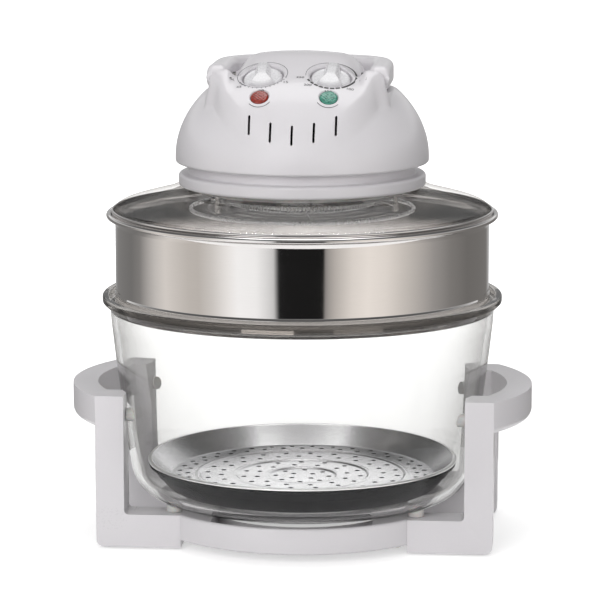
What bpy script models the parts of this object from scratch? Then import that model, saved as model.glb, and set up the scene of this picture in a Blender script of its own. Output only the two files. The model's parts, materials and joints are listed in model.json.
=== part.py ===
# Countertop halogen oven: a glass bowl in a two-handled base, a steel extension ring,
# and a glass lid that carries the heater head. Metres, +Z up, the front faces -Y,
# the origin is on the table under the middle of the bowl.
import math

import bmesh
import bpy
from mathutils import Matrix, Vector

# Fits and mesh fineness
FIT_GAP = 0.0003
CUT_OVERRUN = 0.004
MERGE_DISTANCE = 0.00001
TURN_STEPS = 40
HIDDEN_TURN_STEPS = 28
SMALL_TURN_STEPS = 20
TINY_TURN_STEPS = 10
CURVE_STEPS = 4
BOWL_WALL_STEPS = 2
WIRE_SIDES = 6
SPOKE_SIDES = 8
SMOOTH_ANGLE = math.radians(35)

# Glass bowl
BOWL_OVER_BASE = 0.0012
BOWL_WALL = 0.0052
BOWL_RIM_RADIUS = 0.1672
BOWL_RIM_OVERHANG = 0.0072
BOWL_WALL_RADIUS = BOWL_RIM_RADIUS - BOWL_RIM_OVERHANG
BOWL_FLOOR_SHARE = 0.65
BOWL_FLOOR_RADIUS = BOWL_WALL_RADIUS * BOWL_FLOOR_SHARE
BOWL_CORNER_SHARE = 0.9056
BOWL_CORNER_RADIUS = BOWL_WALL_RADIUS * BOWL_CORNER_SHARE
BOWL_CORNER_HEIGHT = 0.031
BOWL_CORNER_PULL_SHARE = 0.93
BOWL_HEIGHT = 0.1725
BOWL_RIM_DROP = 0.022
BOWL_WALL_HEIGHT = BOWL_HEIGHT - BOWL_RIM_DROP
BOWL_WALL_BELLY = 0.0004
BOWL_BELLY_DROP = 0.0049
BOWL_RIM_HEIGHT = 0.0055
BOWL_LIP_WIDTH = 0.0060
BOWL_LIP_ROUND = 0.0012
BOWL_LEDGE_DROP = 0.0075

# Base: feet, rails, posts, side handles and the middle ring
FOOT_HEIGHT = 0.0015
FOOT_RADIUS = 0.008
RAIL_HEIGHT = 0.0274
RAIL_TUCK = 0.0107
RAIL_INNER_X = BOWL_FLOOR_RADIUS - RAIL_TUCK
FRAME_TUCK = 0.0037
FRAME_OUTER_X = BOWL_RIM_RADIUS - FRAME_TUCK
FRAME_FRONT_SHARE = 0.5084
FRAME_FRONT = BOWL_RIM_RADIUS * FRAME_FRONT_SHARE
LEG_DEPTH = 0.029
POST_WIDTH = 0.0235
LEG_ROUND = 0.0025
BAR_BULGE = 0.0295
BAR_WIDTH = 0.021
BAR_HEIGHT = 0.027
BAR_TOP = 0.1284
BAR_ROUND = 0.006
BAR_STEP = 0.0003
POST_TOP_DROP = 0.0004
TONGUE_REACH = 0.017
TONGUE_THICKNESS = 0.0032
TONGUE_WIDTH = 0.020
BASE_RING_OVERHANG = 0.023
BASE_RING_OUTER = BOWL_FLOOR_RADIUS + BASE_RING_OVERHANG
BASE_RING_WIDTH = 0.047
BASE_RING_INNER = BASE_RING_OUTER - BASE_RING_WIDTH
BASE_RING_HEIGHT = 0.0218
BASE_RING_ROUND = 0.002
BASE_RING_BOTTOM = 0.008
SCREW_SHANK_RADIUS = 0.0017
SCREW_SHANK_LENGTH = 0.012
SCREW_HEAD_RADIUS = 0.0032
SCREW_HEAD_HEIGHT = 0.002
SCREW_HOLE_SLACK = 0.0004
PAD_RADIUS = 0.0065
PAD_INSET = 0.0068
BUMPER_RADIUS = 0.0055
BUMPER_SHARE = 0.458
BUMPER_INSET = 0.017
BOWL_TO_FRAME = 0.0016

# Steel extension ring
RING_TO_BOWL_WALL = 0.004
RING_RADIUS = BOWL_WALL_RADIUS - RING_TO_BOWL_WALL
RING_SHEET = 0.0011
RING_SKIRT = 0.0085
RING_SKIRT_BEAD = 0.0013
RING_WALL_HEIGHT = 0.0677
RING_LEDGE_HEIGHT = 0.0722
RING_BEAD_RADIUS = 0.0021
RING_FLARE = 0.0075
RING_TOP_RADIUS = RING_RADIUS + RING_FLARE
RING_BEAD_SIDES = 6
RING_BEAD_START = math.radians(170)
RING_BEAD_END = math.radians(-80)

# Glass lid and its steel band
LID_GLASS = 0.004
LID_EDGE_TUCK = 0.0065
LID_EDGE_RADIUS = RING_TOP_RADIUS - LID_EDGE_TUCK
DOME_RADIUS = 0.1055
HOLE_TUCK = 0.0155
LID_HOLE_RADIUS = DOME_RADIUS - HOLE_TUCK
LID_RISE = 0.020
LID_PROFILE_SHARES = ((0, 0), (0.10, 0.285), (0.567, 0.71), (0.731, 0.915), (0.851, 0.985), (1, 1))
BAND_SHEET = 0.0012
BAND_LIP = 0.0055
BAND_SIDE = 0.002
BAND_RADIUS = LID_EDGE_RADIUS + BAND_SIDE
BAND_HEIGHT = 0.0062

# Gasket, reflector, shield, halogen tube, guard
GASKET_WIDTH = 0.0023
GASKET_HEIGHT = 0.0066
SHIELD_TUCK = 0.0075
SHIELD_RADIUS = DOME_RADIUS - SHIELD_TUCK
SHIELD_THICKNESS = 0.0012
SHAFT_HOLE_SLACK = 0.002
REFLECTOR_TUCK = 0.010
REFLECTOR_RADIUS = LID_HOLE_RADIUS - REFLECTOR_TUCK
REFLECTOR_SKIRT = 0.011
TUBE_TO_REFLECTOR = 0.022
TUBE_RING_RADIUS = REFLECTOR_RADIUS - TUBE_TO_REFLECTOR
TUBE_RADIUS = 0.0045
TUBE_DROP = 0.0145
TUBE_POINTS = 22
HOLDER_WIDTH = 0.009
HOLDER_DEPTH = 0.012
HOLDER_ANGLE = math.radians(9)
HOLDER_SEAT = 0.0011
HOLDER_BELOW_TUBE = 0.0055
GUARD_OVERHANG = 0.003
GUARD_RADIUS = LID_HOLE_RADIUS + GUARD_OVERHANG
GUARD_DROP = 0.0225
GUARD_WIRE = 0.00165
GUARD_INNER_WIRE = 0.0015
GUARD_INNER_SHARES = (0.68, 0.36)
GUARD_STEPS = 32
GUARD_SPOKE_ANGLES = tuple(math.radians(angle) for angle in (220, 340, 100))
GUARD_POST_RADIUS = 0.0025
GUARD_POST_TUCK = 0.0085
GUARD_POST_CIRCLE = GUARD_RADIUS - GUARD_POST_TUCK
BULB_RADIUS = 0.0025
BULB_LENGTH = 0.012
BULB_TUCK = 0.010
BULB_CIRCLE = REFLECTOR_RADIUS - BULB_TUCK

# Head: lower housing, domed upper housing and its control hump
HEAD_WALL = 0.0025
COLLAR_TUCK = 0.0026
COLLAR_RADIUS = DOME_RADIUS - COLLAR_TUCK
COLLAR_HEIGHT = 0.0105
COLLAR_ROUND = 0.0022
NECK_TUCK = 0.011
NECK_RADIUS = DOME_RADIUS - NECK_TUCK
NECK_HEIGHT = 0.0085
DOME_RISE = 0.084
DOME_SKIRT = 0.0045
DOME_SKIRT_ROUND = 0.003
DOME_INNER_EDGE = LID_HOLE_RADIUS
DECK_HEIGHT = 0.057
DECK_ROUND = 0.002
DOME_STEPS = 6
HUMP_WIDTH_SHARE = 0.711
HUMP_HALF_WIDTH = DOME_RADIUS * HUMP_WIDTH_SHARE
HUMP_TUCK = 0.003
HUMP_REACH = DOME_RADIUS - HUMP_TUCK
HUMP_BACK = 0.010
HUMP_SQUARENESS = 2.4
HUMP_BACK_SQUARENESS = 4.0
HUMP_TOE = 0.0185
HUMP_RISE = 0.0695
HUMP_CROWN_RADIUS = 0.290
HUMP_EDGE_ROUND = 0.012
HUMP_EDGE_SHARE = 0.75
HUMP_MIDDLE_SHARE = 1 / 3
HUMP_ROOT = 0.016
HUMP_ANGLES = 28
HUMP_TOP_WALL = 0.0042
# Centre line of the hump, from its toe up over the crest: share of the reach, share of the rise
HUMP_LINE_SHARES = (
    (1.0, 0.0), (0.91, 0.27), (0.81, 0.49), (0.673, 0.665), (0.49, 0.795),
    (0.302, 0.91), (0.176, 0.975), (0.05, 1.0), (-0.10, 0.985),
)
HUMP_RING_SHARES = (0.35, 0.65, 0.85, 0.92, 0.97, 1.0)
# The hump's shoulders stand higher, level with the handle's arms
SHOULDER_LIFT = 0.005
SHOULDER_INNER_X = 0.046
SHOULDER_OUTER_X = 0.062
SHOULDER_FRONT = 0.078
SHOULDER_BACK = 0.056
ISLAND_TUCK = 0.0185
ISLAND_HALF_WIDTH = HUMP_HALF_WIDTH - ISLAND_TUCK
PIVOT_TO_TOE = 0.0685
HANDLE_PIVOT = HUMP_REACH - PIVOT_TO_TOE
ARM_SLOT_AHEAD = 0.0112
ARM_SLOT_FRONT = HANDLE_PIVOT + ARM_SLOT_AHEAD
ARM_CHANNEL = 0.0005
VENT_WIDTH = 0.0018
VENT_HEIGHT = 0.0155
VENT_SPACING = 0.0175
VENT_TOPS = (0.0428, 0.0376, 0.0355, 0.0376, 0.0428)
VENT_DEPTH = 0.0245
VENT_FRONT = HUMP_REACH - VENT_DEPTH

# Carrying handle and its pins
HANDLE_CLEARANCE = 0.0015
HANDLE_WIDTH = 0.017
HANDLE_HEIGHT = 0.0207
HANDLE_LIFT = 0.0013
HANDLE_BACK_TUCK = 0.0335
HANDLE_BACK = DOME_RADIUS - HANDLE_BACK_TUCK
HANDLE_CORNER_START = 0.008
HANDLE_SQUARENESS = 2.7
HANDLE_ROUND = 0.006
HANDLE_STEPS = 6
HANDLE_END_STEPS = 16
PIN_RADIUS = 0.0025
PIN_SLACK = 0.0003
PIN_LENGTH = 0.0181
PIN_HEAD_RADIUS = 0.004
PIN_HEAD_HEIGHT = 0.0023

# Dials, knobs, timer, thermostat and lamps
DIAL_X_SHARE = 0.4956
DIAL_X = ISLAND_HALF_WIDTH * DIAL_X_SHARE
DIAL_TO_TOE = 0.0515
DIAL_Y = HUMP_REACH - DIAL_TO_TOE
DIAL_PITCH = math.radians(24)
DIAL_SPLAY = math.radians(5)
CUP_SHARE = 0.3664
CUP_RADIUS = ISLAND_HALF_WIDTH * CUP_SHARE
CUP_TOP_DEPTH = 0.0028
CUP_FLOOR = 0.0035
CUP_WALL = 0.0034
RECESS_RADIUS = CUP_RADIUS - CUP_WALL
RECESS_DEPTH = 0.007
KNOB_CLEARANCE = 0.0015
KNOB_RADIUS = RECESS_RADIUS - KNOB_CLEARANCE
KNOB_DISC = 0.004
KNOB_BLADE_WIDTH = 0.008
KNOB_BLADE_RISE = 0.0045
KNOB_BLADE_ROUND = 0.002
KNOB_STEM_RADIUS = 0.003
TIMER_TUCK = 0.0017
TIMER_RADIUS = CUP_RADIUS - TIMER_TUCK
TIMER_LENGTH = 0.021
THERMOSTAT_TUCK = 0.0047
THERMOSTAT_RADIUS = CUP_RADIUS - THERMOSTAT_TUCK
THERMOSTAT_LENGTH = 0.017
LAMP_TO_TOE = 0.025
LAMP_Y = HUMP_REACH - LAMP_TO_TOE
LAMP_PITCH = math.radians(40)
LAMP_RADIUS = 0.0072
LAMP_LENGTH = 0.006
LAMP_PROUD = 0.0012
LAMP_DOME_SHARE = 0.6

# Motor, fans, switch, terminal block and cord gland
SHAFT_RADIUS = 0.002
SHAFT_BELOW_FAN = 0.0015
FAN_TO_TUBE = 0.014
HOT_FAN_RADIUS = TUBE_RING_RADIUS - FAN_TO_TUBE
HOT_FAN_DROP = 0.003
HOT_FAN_HEIGHT = 0.008
COOL_FAN_RADIUS = 0.036
COOL_FAN_LIFT = 0.004
COOL_FAN_HEIGHT = 0.009
FAN_PLATE = 0.001
FAN_VANE_THICKNESS = 0.0012
FAN_VANES = 6
FAN_HUB_RADIUS = 0.007
BRACKET_HALF_WIDTH = 0.045
BRACKET_DEPTH = 0.028
BRACKET_SHEET = 0.0016
BRACKET_HEIGHT = 0.021
STATOR_WIDTH = 0.050
STATOR_DEPTH = 0.044
STATOR_HEIGHT = 0.015
ROTOR_RADIUS = 0.011
ROTOR_AIR_GAP = 0.0006
COIL_WIDTH = 0.0125
COIL_DEPTH = 0.030
COIL_ROUND = 0.002
BEARING_PLATE_DEPTH = 0.014
BEARING_PLATE = 0.0015
SHAFT_ABOVE_BEARING = 0.003
SWITCH_WIDTH = 0.0066
SWITCH_LENGTH = 0.020
SWITCH_HEIGHT = 0.010
SWITCH_Y = 0.010
PLUNGER_RADIUS = 0.0026
PLUNGER_HOLE_SLACK = 0.0004
TERMINAL_WIDTH = 0.026
TERMINAL_DEPTH = 0.012
TERMINAL_HEIGHT = 0.011
TERMINAL_TUCK = 0.0205
TERMINAL_Y = NECK_RADIUS - TERMINAL_TUCK
GLAND_HEIGHT = 0.014
GLAND_NECK_RADIUS = 0.007
GLAND_FLANGE_RADIUS = 0.0095
GLAND_FLANGE = 0.0033
GLAND_BORE = 0.0036
GLAND_INSIDE = 0.0095
GLAND_STANDOFF = 0.0004

# Drip pan and perforated tray
PAN_SHEET = 0.001
PAN_FLOOR_RADIUS = BOWL_FLOOR_RADIUS
PAN_FOOT_WIDTH = 0.0105
PAN_FOOT_RADIUS = PAN_FLOOR_RADIUS + PAN_FOOT_WIDTH
PAN_FOOT_RISE = 0.0032
PAN_WALL_SLOPE = 0.0121
PAN_WALL_TOP_RADIUS = PAN_FOOT_RADIUS + PAN_WALL_SLOPE
PAN_FLANGE_WIDTH = 0.0030
PAN_FLANGE_RADIUS = PAN_WALL_TOP_RADIUS + PAN_FLANGE_WIDTH
PAN_HEIGHT = 0.0242
TRAY_SHEET = 0.0009
TRAY_OVERHANG = 0.0006
TRAY_RIM_RADIUS = PAN_FLANGE_RADIUS + TRAY_OVERHANG
TRAY_RIM_HEIGHT = 0.0034
TRAY_RIM_WIDTH = 0.0042
TRAY_WALL_WIDTH = 0.0186
TRAY_FLOOR_RADIUS = TRAY_RIM_RADIUS - TRAY_WALL_WIDTH
TRAY_FLOOR_DEPTH = 0.0158
TRAY_STEP_RADII = (0.088, 0.057, 0.030)
TRAY_STEP_WIDTH = 0.0022
TRAY_STEP_DROP = 0.0009
TRAY_HOLE_RADIUS = 0.0022
TRAY_HOLE_SIDES = 4
TRAY_HOLE_CIRCLES = ((0.0995, 20), (0.0725, 14), (0.0435, 9), (0.0165, 4))

# Heights that follow from the stack of pieces
RAIL_BOTTOM = FOOT_HEIGHT + FIT_GAP
RAIL_TOP = RAIL_BOTTOM + RAIL_HEIGHT
BASE_RING_TOP = BASE_RING_BOTTOM + BASE_RING_HEIGHT
BOWL_BOTTOM = BASE_RING_TOP + BOWL_OVER_BASE
BOWL_TOP = BOWL_BOTTOM + BOWL_HEIGHT
BOWL_FLOOR = BOWL_BOTTOM + BOWL_WALL
BUMPER_HEIGHT = BOWL_BOTTOM + BOWL_HEIGHT * BUMPER_SHARE
RING_SEAT = BOWL_TOP - BOWL_LEDGE_DROP + FIT_GAP
LID_SEAT = RING_SEAT + RING_LEDGE_HEIGHT + FIT_GAP
GLASS_SEAT = LID_SEAT + BAND_SHEET + FIT_GAP
GLASS_EDGE_TOP = GLASS_SEAT + LID_GLASS
LID_TOP = GLASS_EDGE_TOP + LID_RISE
COLLAR_BOTTOM = LID_TOP + FIT_GAP
COLLAR_TOP = COLLAR_BOTTOM + COLLAR_HEIGHT
NECK_TOP = COLLAR_TOP + NECK_HEIGHT
HOUSING_FLOOR = COLLAR_BOTTOM + HEAD_WALL
SHIELD_BOTTOM = HOUSING_FLOOR + FIT_GAP
SHIELD_TOP = SHIELD_BOTTOM + SHIELD_THICKNESS
REFLECTOR_TOP = SHIELD_BOTTOM - FIT_GAP
TUBE_HEIGHT = REFLECTOR_TOP - TUBE_DROP
GUARD_HEIGHT = REFLECTOR_TOP - GUARD_DROP
DOME_BOTTOM = NECK_TOP + FIT_GAP
DOME_CENTRE = DOME_BOTTOM + DOME_SKIRT
DECK_TOP = DOME_CENTRE + DECK_HEIGHT
HUMP_TOE_HEIGHT = DOME_CENTRE + HUMP_TOE
HANDLE_BOTTOM = DECK_TOP + HANDLE_LIFT
HANDLE_PIVOT_HEIGHT = HANDLE_BOTTOM + HANDLE_HEIGHT / 2
BRACKET_TOP = SHIELD_TOP + FIT_GAP + BRACKET_HEIGHT
STATOR_BOTTOM = BRACKET_TOP + FIT_GAP
STATOR_TOP = STATOR_BOTTOM + STATOR_HEIGHT
BEARING_BOTTOM = STATOR_TOP + FIT_GAP
BEARING_TOP = BEARING_BOTTOM + BEARING_PLATE
PAN_BOTTOM = BOWL_FLOOR + FIT_GAP
PAN_TOP = PAN_BOTTOM + PAN_HEIGHT
TRAY_SEAT = PAN_TOP + FIT_GAP
TRAY_TOP = TRAY_SEAT + TRAY_RIM_HEIGHT
TRAY_FLOOR = TRAY_TOP - TRAY_FLOOR_DEPTH
SIDES = (("left", -1), ("right", 1))
CORNERS = (("front_left", -1, -1), ("front_right", 1, -1), ("rear_left", -1, 1), ("rear_right", 1, 1))


# Scene, collections and materials
def clear_scene():
    for item in list(bpy.data.objects):
        bpy.data.objects.remove(item, do_unlink=True)


def new_collection(name):
    made = bpy.data.collections.new(name)
    bpy.context.scene.collection.children.link(made)
    return made


def new_material(name, colour, roughness, metallic=0.0, transmission=0.0):
    made = bpy.data.materials.new(name)
    made.use_nodes = True
    shader = made.node_tree.nodes["Principled BSDF"]
    shader.inputs["Base Color"].default_value = (*colour, 1)
    shader.inputs["Roughness"].default_value = roughness
    shader.inputs["Metallic"].default_value = metallic
    shader.inputs["Transmission Weight"].default_value = transmission
    made.diffuse_color = (*colour, 1)
    return made


def add_object(name, data, material, collection):
    made = bpy.data.objects.new(name, data)
    collection.objects.link(made)
    if material is not None:
        data.materials.append(material)
    return made


def as_cutter(item):
    item.hide_render = True
    item.display_type = "WIRE"
    return item


def shade_round(item):
    item.data.shade_smooth()
    item.data.set_sharp_from_angle(angle=SMOOTH_ANGLE)


# Ways of making shapes
def mesh_from_bmesh(name, shape):
    bmesh.ops.recalc_face_normals(shape, faces=shape.faces)
    mesh = bpy.data.meshes.new(name)
    shape.to_mesh(mesh)
    shape.free()
    return mesh


def turned(name, outline, material, collection, steps=TURN_STEPS, closed=True):
    """A profile of (radius, height) points, outer side downwards, turned about Z."""
    mesh = bpy.data.meshes.new(name)
    count = len(outline)
    edges = [(index, index + 1) for index in range(count - 1)]
    if closed:
        edges.append((count - 1, 0))
    mesh.from_pydata([(radius, 0, height) for radius, height in outline], edges, [])
    made = add_object(name, mesh, material, collection)
    screw = made.modifiers.new("Turn", "SCREW")
    screw.steps = steps
    screw.render_steps = steps
    screw.use_merge_vertices = True
    screw.merge_threshold = MERGE_DISTANCE
    screw.use_normal_calculate = False
    return made


def box(name, low, high, material, collection, round_by=0):
    shape = bmesh.new()
    bmesh.ops.create_cube(shape, size=1)
    low, high = Vector(low), Vector(high)
    size = high - low
    bmesh.ops.scale(shape, vec=size, verts=shape.verts)
    bmesh.ops.translate(shape, vec=(low + high) / 2, verts=shape.verts)
    made = add_object(name, mesh_from_bmesh(name, shape), material, collection)
    if round_by:
        add_bevel(made, round_by)
    return made


def add_bevel(item, width, segments=2):
    bevel = item.modifiers.new("Round", "BEVEL")
    bevel.width = width
    bevel.segments = segments
    bevel.limit_method = "ANGLE"
    bevel.use_clamp_overlap = True


def rod(name, start, end, radius, material, collection, sides=TINY_TURN_STEPS):
    """A straight round bar between two points."""
    start, end = Vector(start), Vector(end)
    shape = bmesh.new()
    bmesh.ops.create_cone(
        shape, cap_ends=True, segments=sides, radius1=radius, radius2=radius, depth=(end - start).length
    )
    turn = (end - start).to_track_quat("Z", "Y").to_matrix().to_4x4()
    bmesh.ops.transform(shape, matrix=Matrix.Translation((start + end) / 2) @ turn, verts=shape.verts)
    return add_object(name, mesh_from_bmesh(name, shape), material, collection)


def plate(name, outlines, thickness, matrix, material, collection):
    """A flat outline, filled and given its thickness, as a mesh in the frame of matrix."""
    curve = bpy.data.curves.new(name, "CURVE")
    curve.dimensions = "2D"
    curve.fill_mode = "BOTH"
    curve.extrude = thickness / 2
    for outline in outlines:
        spline = curve.splines.new("POLY")
        spline.points.add(len(outline) - 1)
        for point, (across, along) in zip(spline.points, outline):
            point.co = (across, along, 0, 1)
        spline.use_cyclic_u = True
    drawn = add_object(name + "_outline", curve, None, collection)
    return curve_to_mesh(name, drawn, matrix, material, collection)


def curve_to_mesh(name, drawn, matrix, material, collection):
    bpy.context.view_layer.update()
    graph = bpy.context.evaluated_depsgraph_get()
    mesh = bpy.data.meshes.new_from_object(drawn.evaluated_get(graph))
    shape = bmesh.new()
    shape.from_mesh(mesh)
    bmesh.ops.remove_doubles(shape, verts=shape.verts, dist=MERGE_DISTANCE)
    bmesh.ops.transform(shape, matrix=matrix, verts=shape.verts)
    bpy.data.meshes.remove(mesh)
    bpy.data.objects.remove(drawn, do_unlink=True)
    return add_object(name, mesh_from_bmesh(name, shape), material, collection)


def combine(item, others, operation):
    """Joins helpers to a piece, or cuts them from it. The helpers stay as hidden guides."""
    for other in others:
        step = item.modifiers.new(operation.title(), "BOOLEAN")
        step.operation = operation
        step.solver = "EXACT"
        step.object = as_cutter(other)
    return item


def set_origin(item, point):
    item.data.transform(Matrix.Translation(-Vector(point)))
    item.location = point


def bend(start, pull, end, steps=CURVE_STEPS):
    """Points of a quadratic curve from start to end, drawn towards pull."""
    points = []
    for index in range(steps + 1):
        t = index / steps
        points.append(tuple(
            (1 - t) ** 2 * a + 2 * t * (1 - t) * b + t**2 * c for a, b, c in zip(start, pull, end)
        ))
    return points


def arc(centre, radii, start, end, steps):
    """Points of an ellipse arc in the profile plane, angles in radians from +radius towards +height."""
    points = []
    for index in range(steps + 1):
        angle = start + (end - start) * index / steps
        points.append((centre[0] + radii[0] * math.cos(angle), centre[1] + radii[1] * math.sin(angle)))
    return points


# Bowl outline, shared by the bowl and by what has to clear it
def bowl_outer(clearance=0.0):
    """Outer side of the bowl from the flange down to the axis, moved outwards by a clearance."""
    floor = BOWL_BOTTOM - clearance
    corner = (BOWL_CORNER_RADIUS + clearance, BOWL_BOTTOM + BOWL_CORNER_HEIGHT)
    wall_top = (BOWL_WALL_RADIUS + clearance, BOWL_BOTTOM + BOWL_WALL_HEIGHT)
    belly = (
        (corner[0] + wall_top[0]) / 2 + BOWL_WALL_BELLY,
        (corner[1] + wall_top[1]) / 2 - BOWL_BELLY_DROP,
    )
    pull = (BOWL_FLOOR_RADIUS + (corner[0] - BOWL_FLOOR_RADIUS) * BOWL_CORNER_PULL_SHARE, floor)
    side = bend(wall_top, belly, corner, BOWL_WALL_STEPS)
    return side[:-1] + bend(corner, pull, (BOWL_FLOOR_RADIUS, floor))


def bowl_space(name, clearance, collection):
    outline = [(0, BOWL_TOP)] + [(BOWL_WALL_RADIUS + clearance, BOWL_TOP)] + bowl_outer(clearance)
    outline.append((0, BOWL_BOTTOM - clearance))
    return as_cutter(turned(name, outline, None, collection, closed=False))


# Base
def make_base(parts, cutters, looks):
    white, rubber, silicone, steel = looks["white"], looks["rubber"], looks["silicone"], looks["steel"]
    made = [make_base_ring(parts, cutters, white)]
    for side, sign in SIDES:
        made.append(make_side_frame(side, sign, parts, cutters, white))
    clear_pads = bowl_space("pad_bowl_clearance", FIT_GAP, cutters)
    foot_x = FRAME_OUTER_X - POST_WIDTH / 2
    leg_y = FRAME_FRONT - LEG_DEPTH / 2
    for place, sign_x, sign_y in CORNERS:
        foot = rod(
            "rubber_foot_" + place, (sign_x * foot_x, sign_y * leg_y, 0),
            (sign_x * foot_x, sign_y * leg_y, FOOT_HEIGHT), FOOT_RADIUS, rubber, parts,
        )
        pad_x = RAIL_INNER_X + PAD_INSET
        pad = rod(
            "bowl_pad_" + place, (sign_x * pad_x, sign_y * leg_y, RAIL_TOP + FIT_GAP),
            (sign_x * pad_x, sign_y * leg_y, BOWL_BOTTOM + PAD_RADIUS * 2), PAD_RADIUS, silicone, parts,
        )
        combine(pad, [clear_pads], "DIFFERENCE")
        bumper_y = FRAME_FRONT - BUMPER_INSET
        post_face = FRAME_OUTER_X - POST_WIDTH - FIT_GAP
        bumper = rod(
            "post_bumper_" + place, (sign_x * (post_face - BUMPER_RADIUS * 2), sign_y * bumper_y, BUMPER_HEIGHT),
            (sign_x * post_face, sign_y * bumper_y, BUMPER_HEIGHT), BUMPER_RADIUS, silicone, parts,
        )
        combine(bumper, [clear_pads], "DIFFERENCE")
        made += [foot, pad, bumper, make_frame_screw(place, sign_x, sign_y, parts, steel)]
    return made


def screw_place(sign_x, sign_y):
    """Where a screw goes up through a rail's tongue into the base ring."""
    return sign_x * (RAIL_INNER_X - TONGUE_REACH / 2), sign_y * (FRAME_FRONT - LEG_DEPTH / 2 - FIT_GAP)


def make_base_ring(parts, cutters, material):
    ring_round = BASE_RING_ROUND
    outline = [
        (BASE_RING_INNER, BASE_RING_TOP),
        (BASE_RING_OUTER - ring_round, BASE_RING_TOP),
        (BASE_RING_OUTER, BASE_RING_TOP - ring_round),
        (BASE_RING_OUTER, BASE_RING_BOTTOM + ring_round),
        (BASE_RING_OUTER - ring_round, BASE_RING_BOTTOM),
        (BASE_RING_INNER, BASE_RING_BOTTOM),
    ]
    ring = turned("base_ring", outline, material, parts)
    tools = []
    for side, sign in SIDES:
        near, far = sign * (RAIL_INNER_X - FIT_GAP), sign * BASE_RING_OUTER * 2
        tools.append(box(
            "base_ring_trim_" + side,
            (min(near, far), -BASE_RING_OUTER * 2, BASE_RING_BOTTOM - CUT_OVERRUN),
            (max(near, far), BASE_RING_OUTER * 2, BASE_RING_TOP + CUT_OVERRUN), None, cutters,
        ))
    for place, sign_x, sign_y in CORNERS:
        x, y = screw_place(sign_x, sign_y)
        depth = SCREW_SHANK_LENGTH - TONGUE_THICKNESS
        tools.append(rod(
            "screw_hole_" + place, (x, y, BASE_RING_BOTTOM - CUT_OVERRUN),
            (x, y, BASE_RING_BOTTOM + depth + FIT_GAP), SCREW_SHANK_RADIUS + SCREW_HOLE_SLACK, None, cutters,
        ))
    return combine(ring, tools, "DIFFERENCE")


def make_frame_screw(place, sign_x, sign_y, parts, material):
    x, y = screw_place(sign_x, sign_y)
    top = BASE_RING_BOTTOM - FIT_GAP - TONGUE_THICKNESS - FIT_GAP
    outline = [
        (0, SCREW_SHANK_LENGTH), (SCREW_SHANK_RADIUS, SCREW_SHANK_LENGTH), (SCREW_SHANK_RADIUS, 0),
        (SCREW_HEAD_RADIUS, 0), (SCREW_HEAD_RADIUS, -SCREW_HEAD_HEIGHT), (0, -SCREW_HEAD_HEIGHT),
    ]
    screw = turned("frame_screw_" + place, outline, material, parts, TINY_TURN_STEPS, closed=False)
    screw.location = (x, y, top)
    return screw


def make_side_frame(side, sign, parts, cutters, material):
    """Two L-shaped legs joined by the curved handle bar, cut to clear the bowl."""
    post_top = BAR_TOP - POST_TOP_DROP
    leg = [
        (RAIL_INNER_X, RAIL_BOTTOM), (FRAME_OUTER_X, RAIL_BOTTOM), (FRAME_OUTER_X, post_top),
        (FRAME_OUTER_X - POST_WIDTH, post_top), (FRAME_OUTER_X - POST_WIDTH, RAIL_TOP),
        (RAIL_INNER_X, RAIL_TOP),
    ]
    leg = [(sign * x, z) for x, z in leg]
    upright = Matrix.Rotation(math.radians(90), 4, "X")
    leg_y = FRAME_FRONT - LEG_DEPTH / 2
    legs = []
    for name, sign_y in (("front", -1), ("rear", 1)):
        matrix = Matrix.Translation((0, sign_y * leg_y, 0)) @ upright
        home, look = (parts, material) if name == "front" else (cutters, None)
        title = side + "_side_frame" if name == "front" else side + "_rear_leg"
        piece = plate(title, [leg], LEG_DEPTH, matrix, look, home)
        add_bevel(piece, LEG_ROUND)
        legs.append(piece)
    bar = make_handle_bar(side, sign, cutters)
    tongues = []
    tools = [bowl_space(side + "_bowl_clearance", BOWL_TO_FRAME, cutters)]
    tongue_top = BASE_RING_BOTTOM - FIT_GAP
    for place, sign_x, sign_y in CORNERS:
        if sign_x != sign:
            continue
        x, y = screw_place(sign_x, sign_y)
        inner = sign * (RAIL_INNER_X - TONGUE_REACH)
        outer = sign * (RAIL_INNER_X + LEG_ROUND * 2)
        tongues.append(box(
            "tongue_" + place, (min(inner, outer), y - TONGUE_WIDTH / 2, tongue_top - TONGUE_THICKNESS),
            (max(inner, outer), y + TONGUE_WIDTH / 2, tongue_top), None, cutters,
        ))
        tools.append(rod(
            "tongue_hole_" + place, (x, y, 0), (x, y, BASE_RING_BOTTOM),
            SCREW_SHANK_RADIUS + SCREW_HOLE_SLACK, None, cutters,
        ))
    frame = combine(legs[0], [legs[1], bar, *tongues], "UNION")
    return combine(frame, tools, "DIFFERENCE")


def make_handle_bar(side, sign, cutters):
    """The grip: a band of even width between two arcs, seen from above."""
    chord = FRAME_FRONT
    outer_radius = (chord**2 + BAR_BULGE**2) / (2 * BAR_BULGE)
    centre_x = FRAME_OUTER_X + BAR_BULGE - outer_radius
    reach = math.asin((chord - POST_TOP_DROP) / outer_radius)
    inner_radius = outer_radius - BAR_WIDTH
    inner_reach = math.asin((chord - POST_TOP_DROP) / inner_radius)
    steps = CURVE_STEPS * 2
    outline = []
    for index in range(steps + 1):
        angle = -reach + 2 * reach * index / steps
        outline.append((sign * (centre_x + outer_radius * math.cos(angle)), outer_radius * math.sin(angle)))
    post_face = FRAME_OUTER_X - POST_WIDTH + BAR_STEP
    for index in range(steps + 1):
        angle = inner_reach - 2 * inner_reach * index / steps
        x = max(centre_x + inner_radius * math.cos(angle), post_face)
        outline.append((sign * x, inner_radius * math.sin(angle)))
    middle = Matrix.Translation((0, 0, BAR_TOP - BAR_HEIGHT / 2))
    bar = plate(side + "_handle_bar", [outline], BAR_HEIGHT, middle, None, cutters)
    add_bevel(bar, BAR_ROUND)
    return bar


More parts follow.
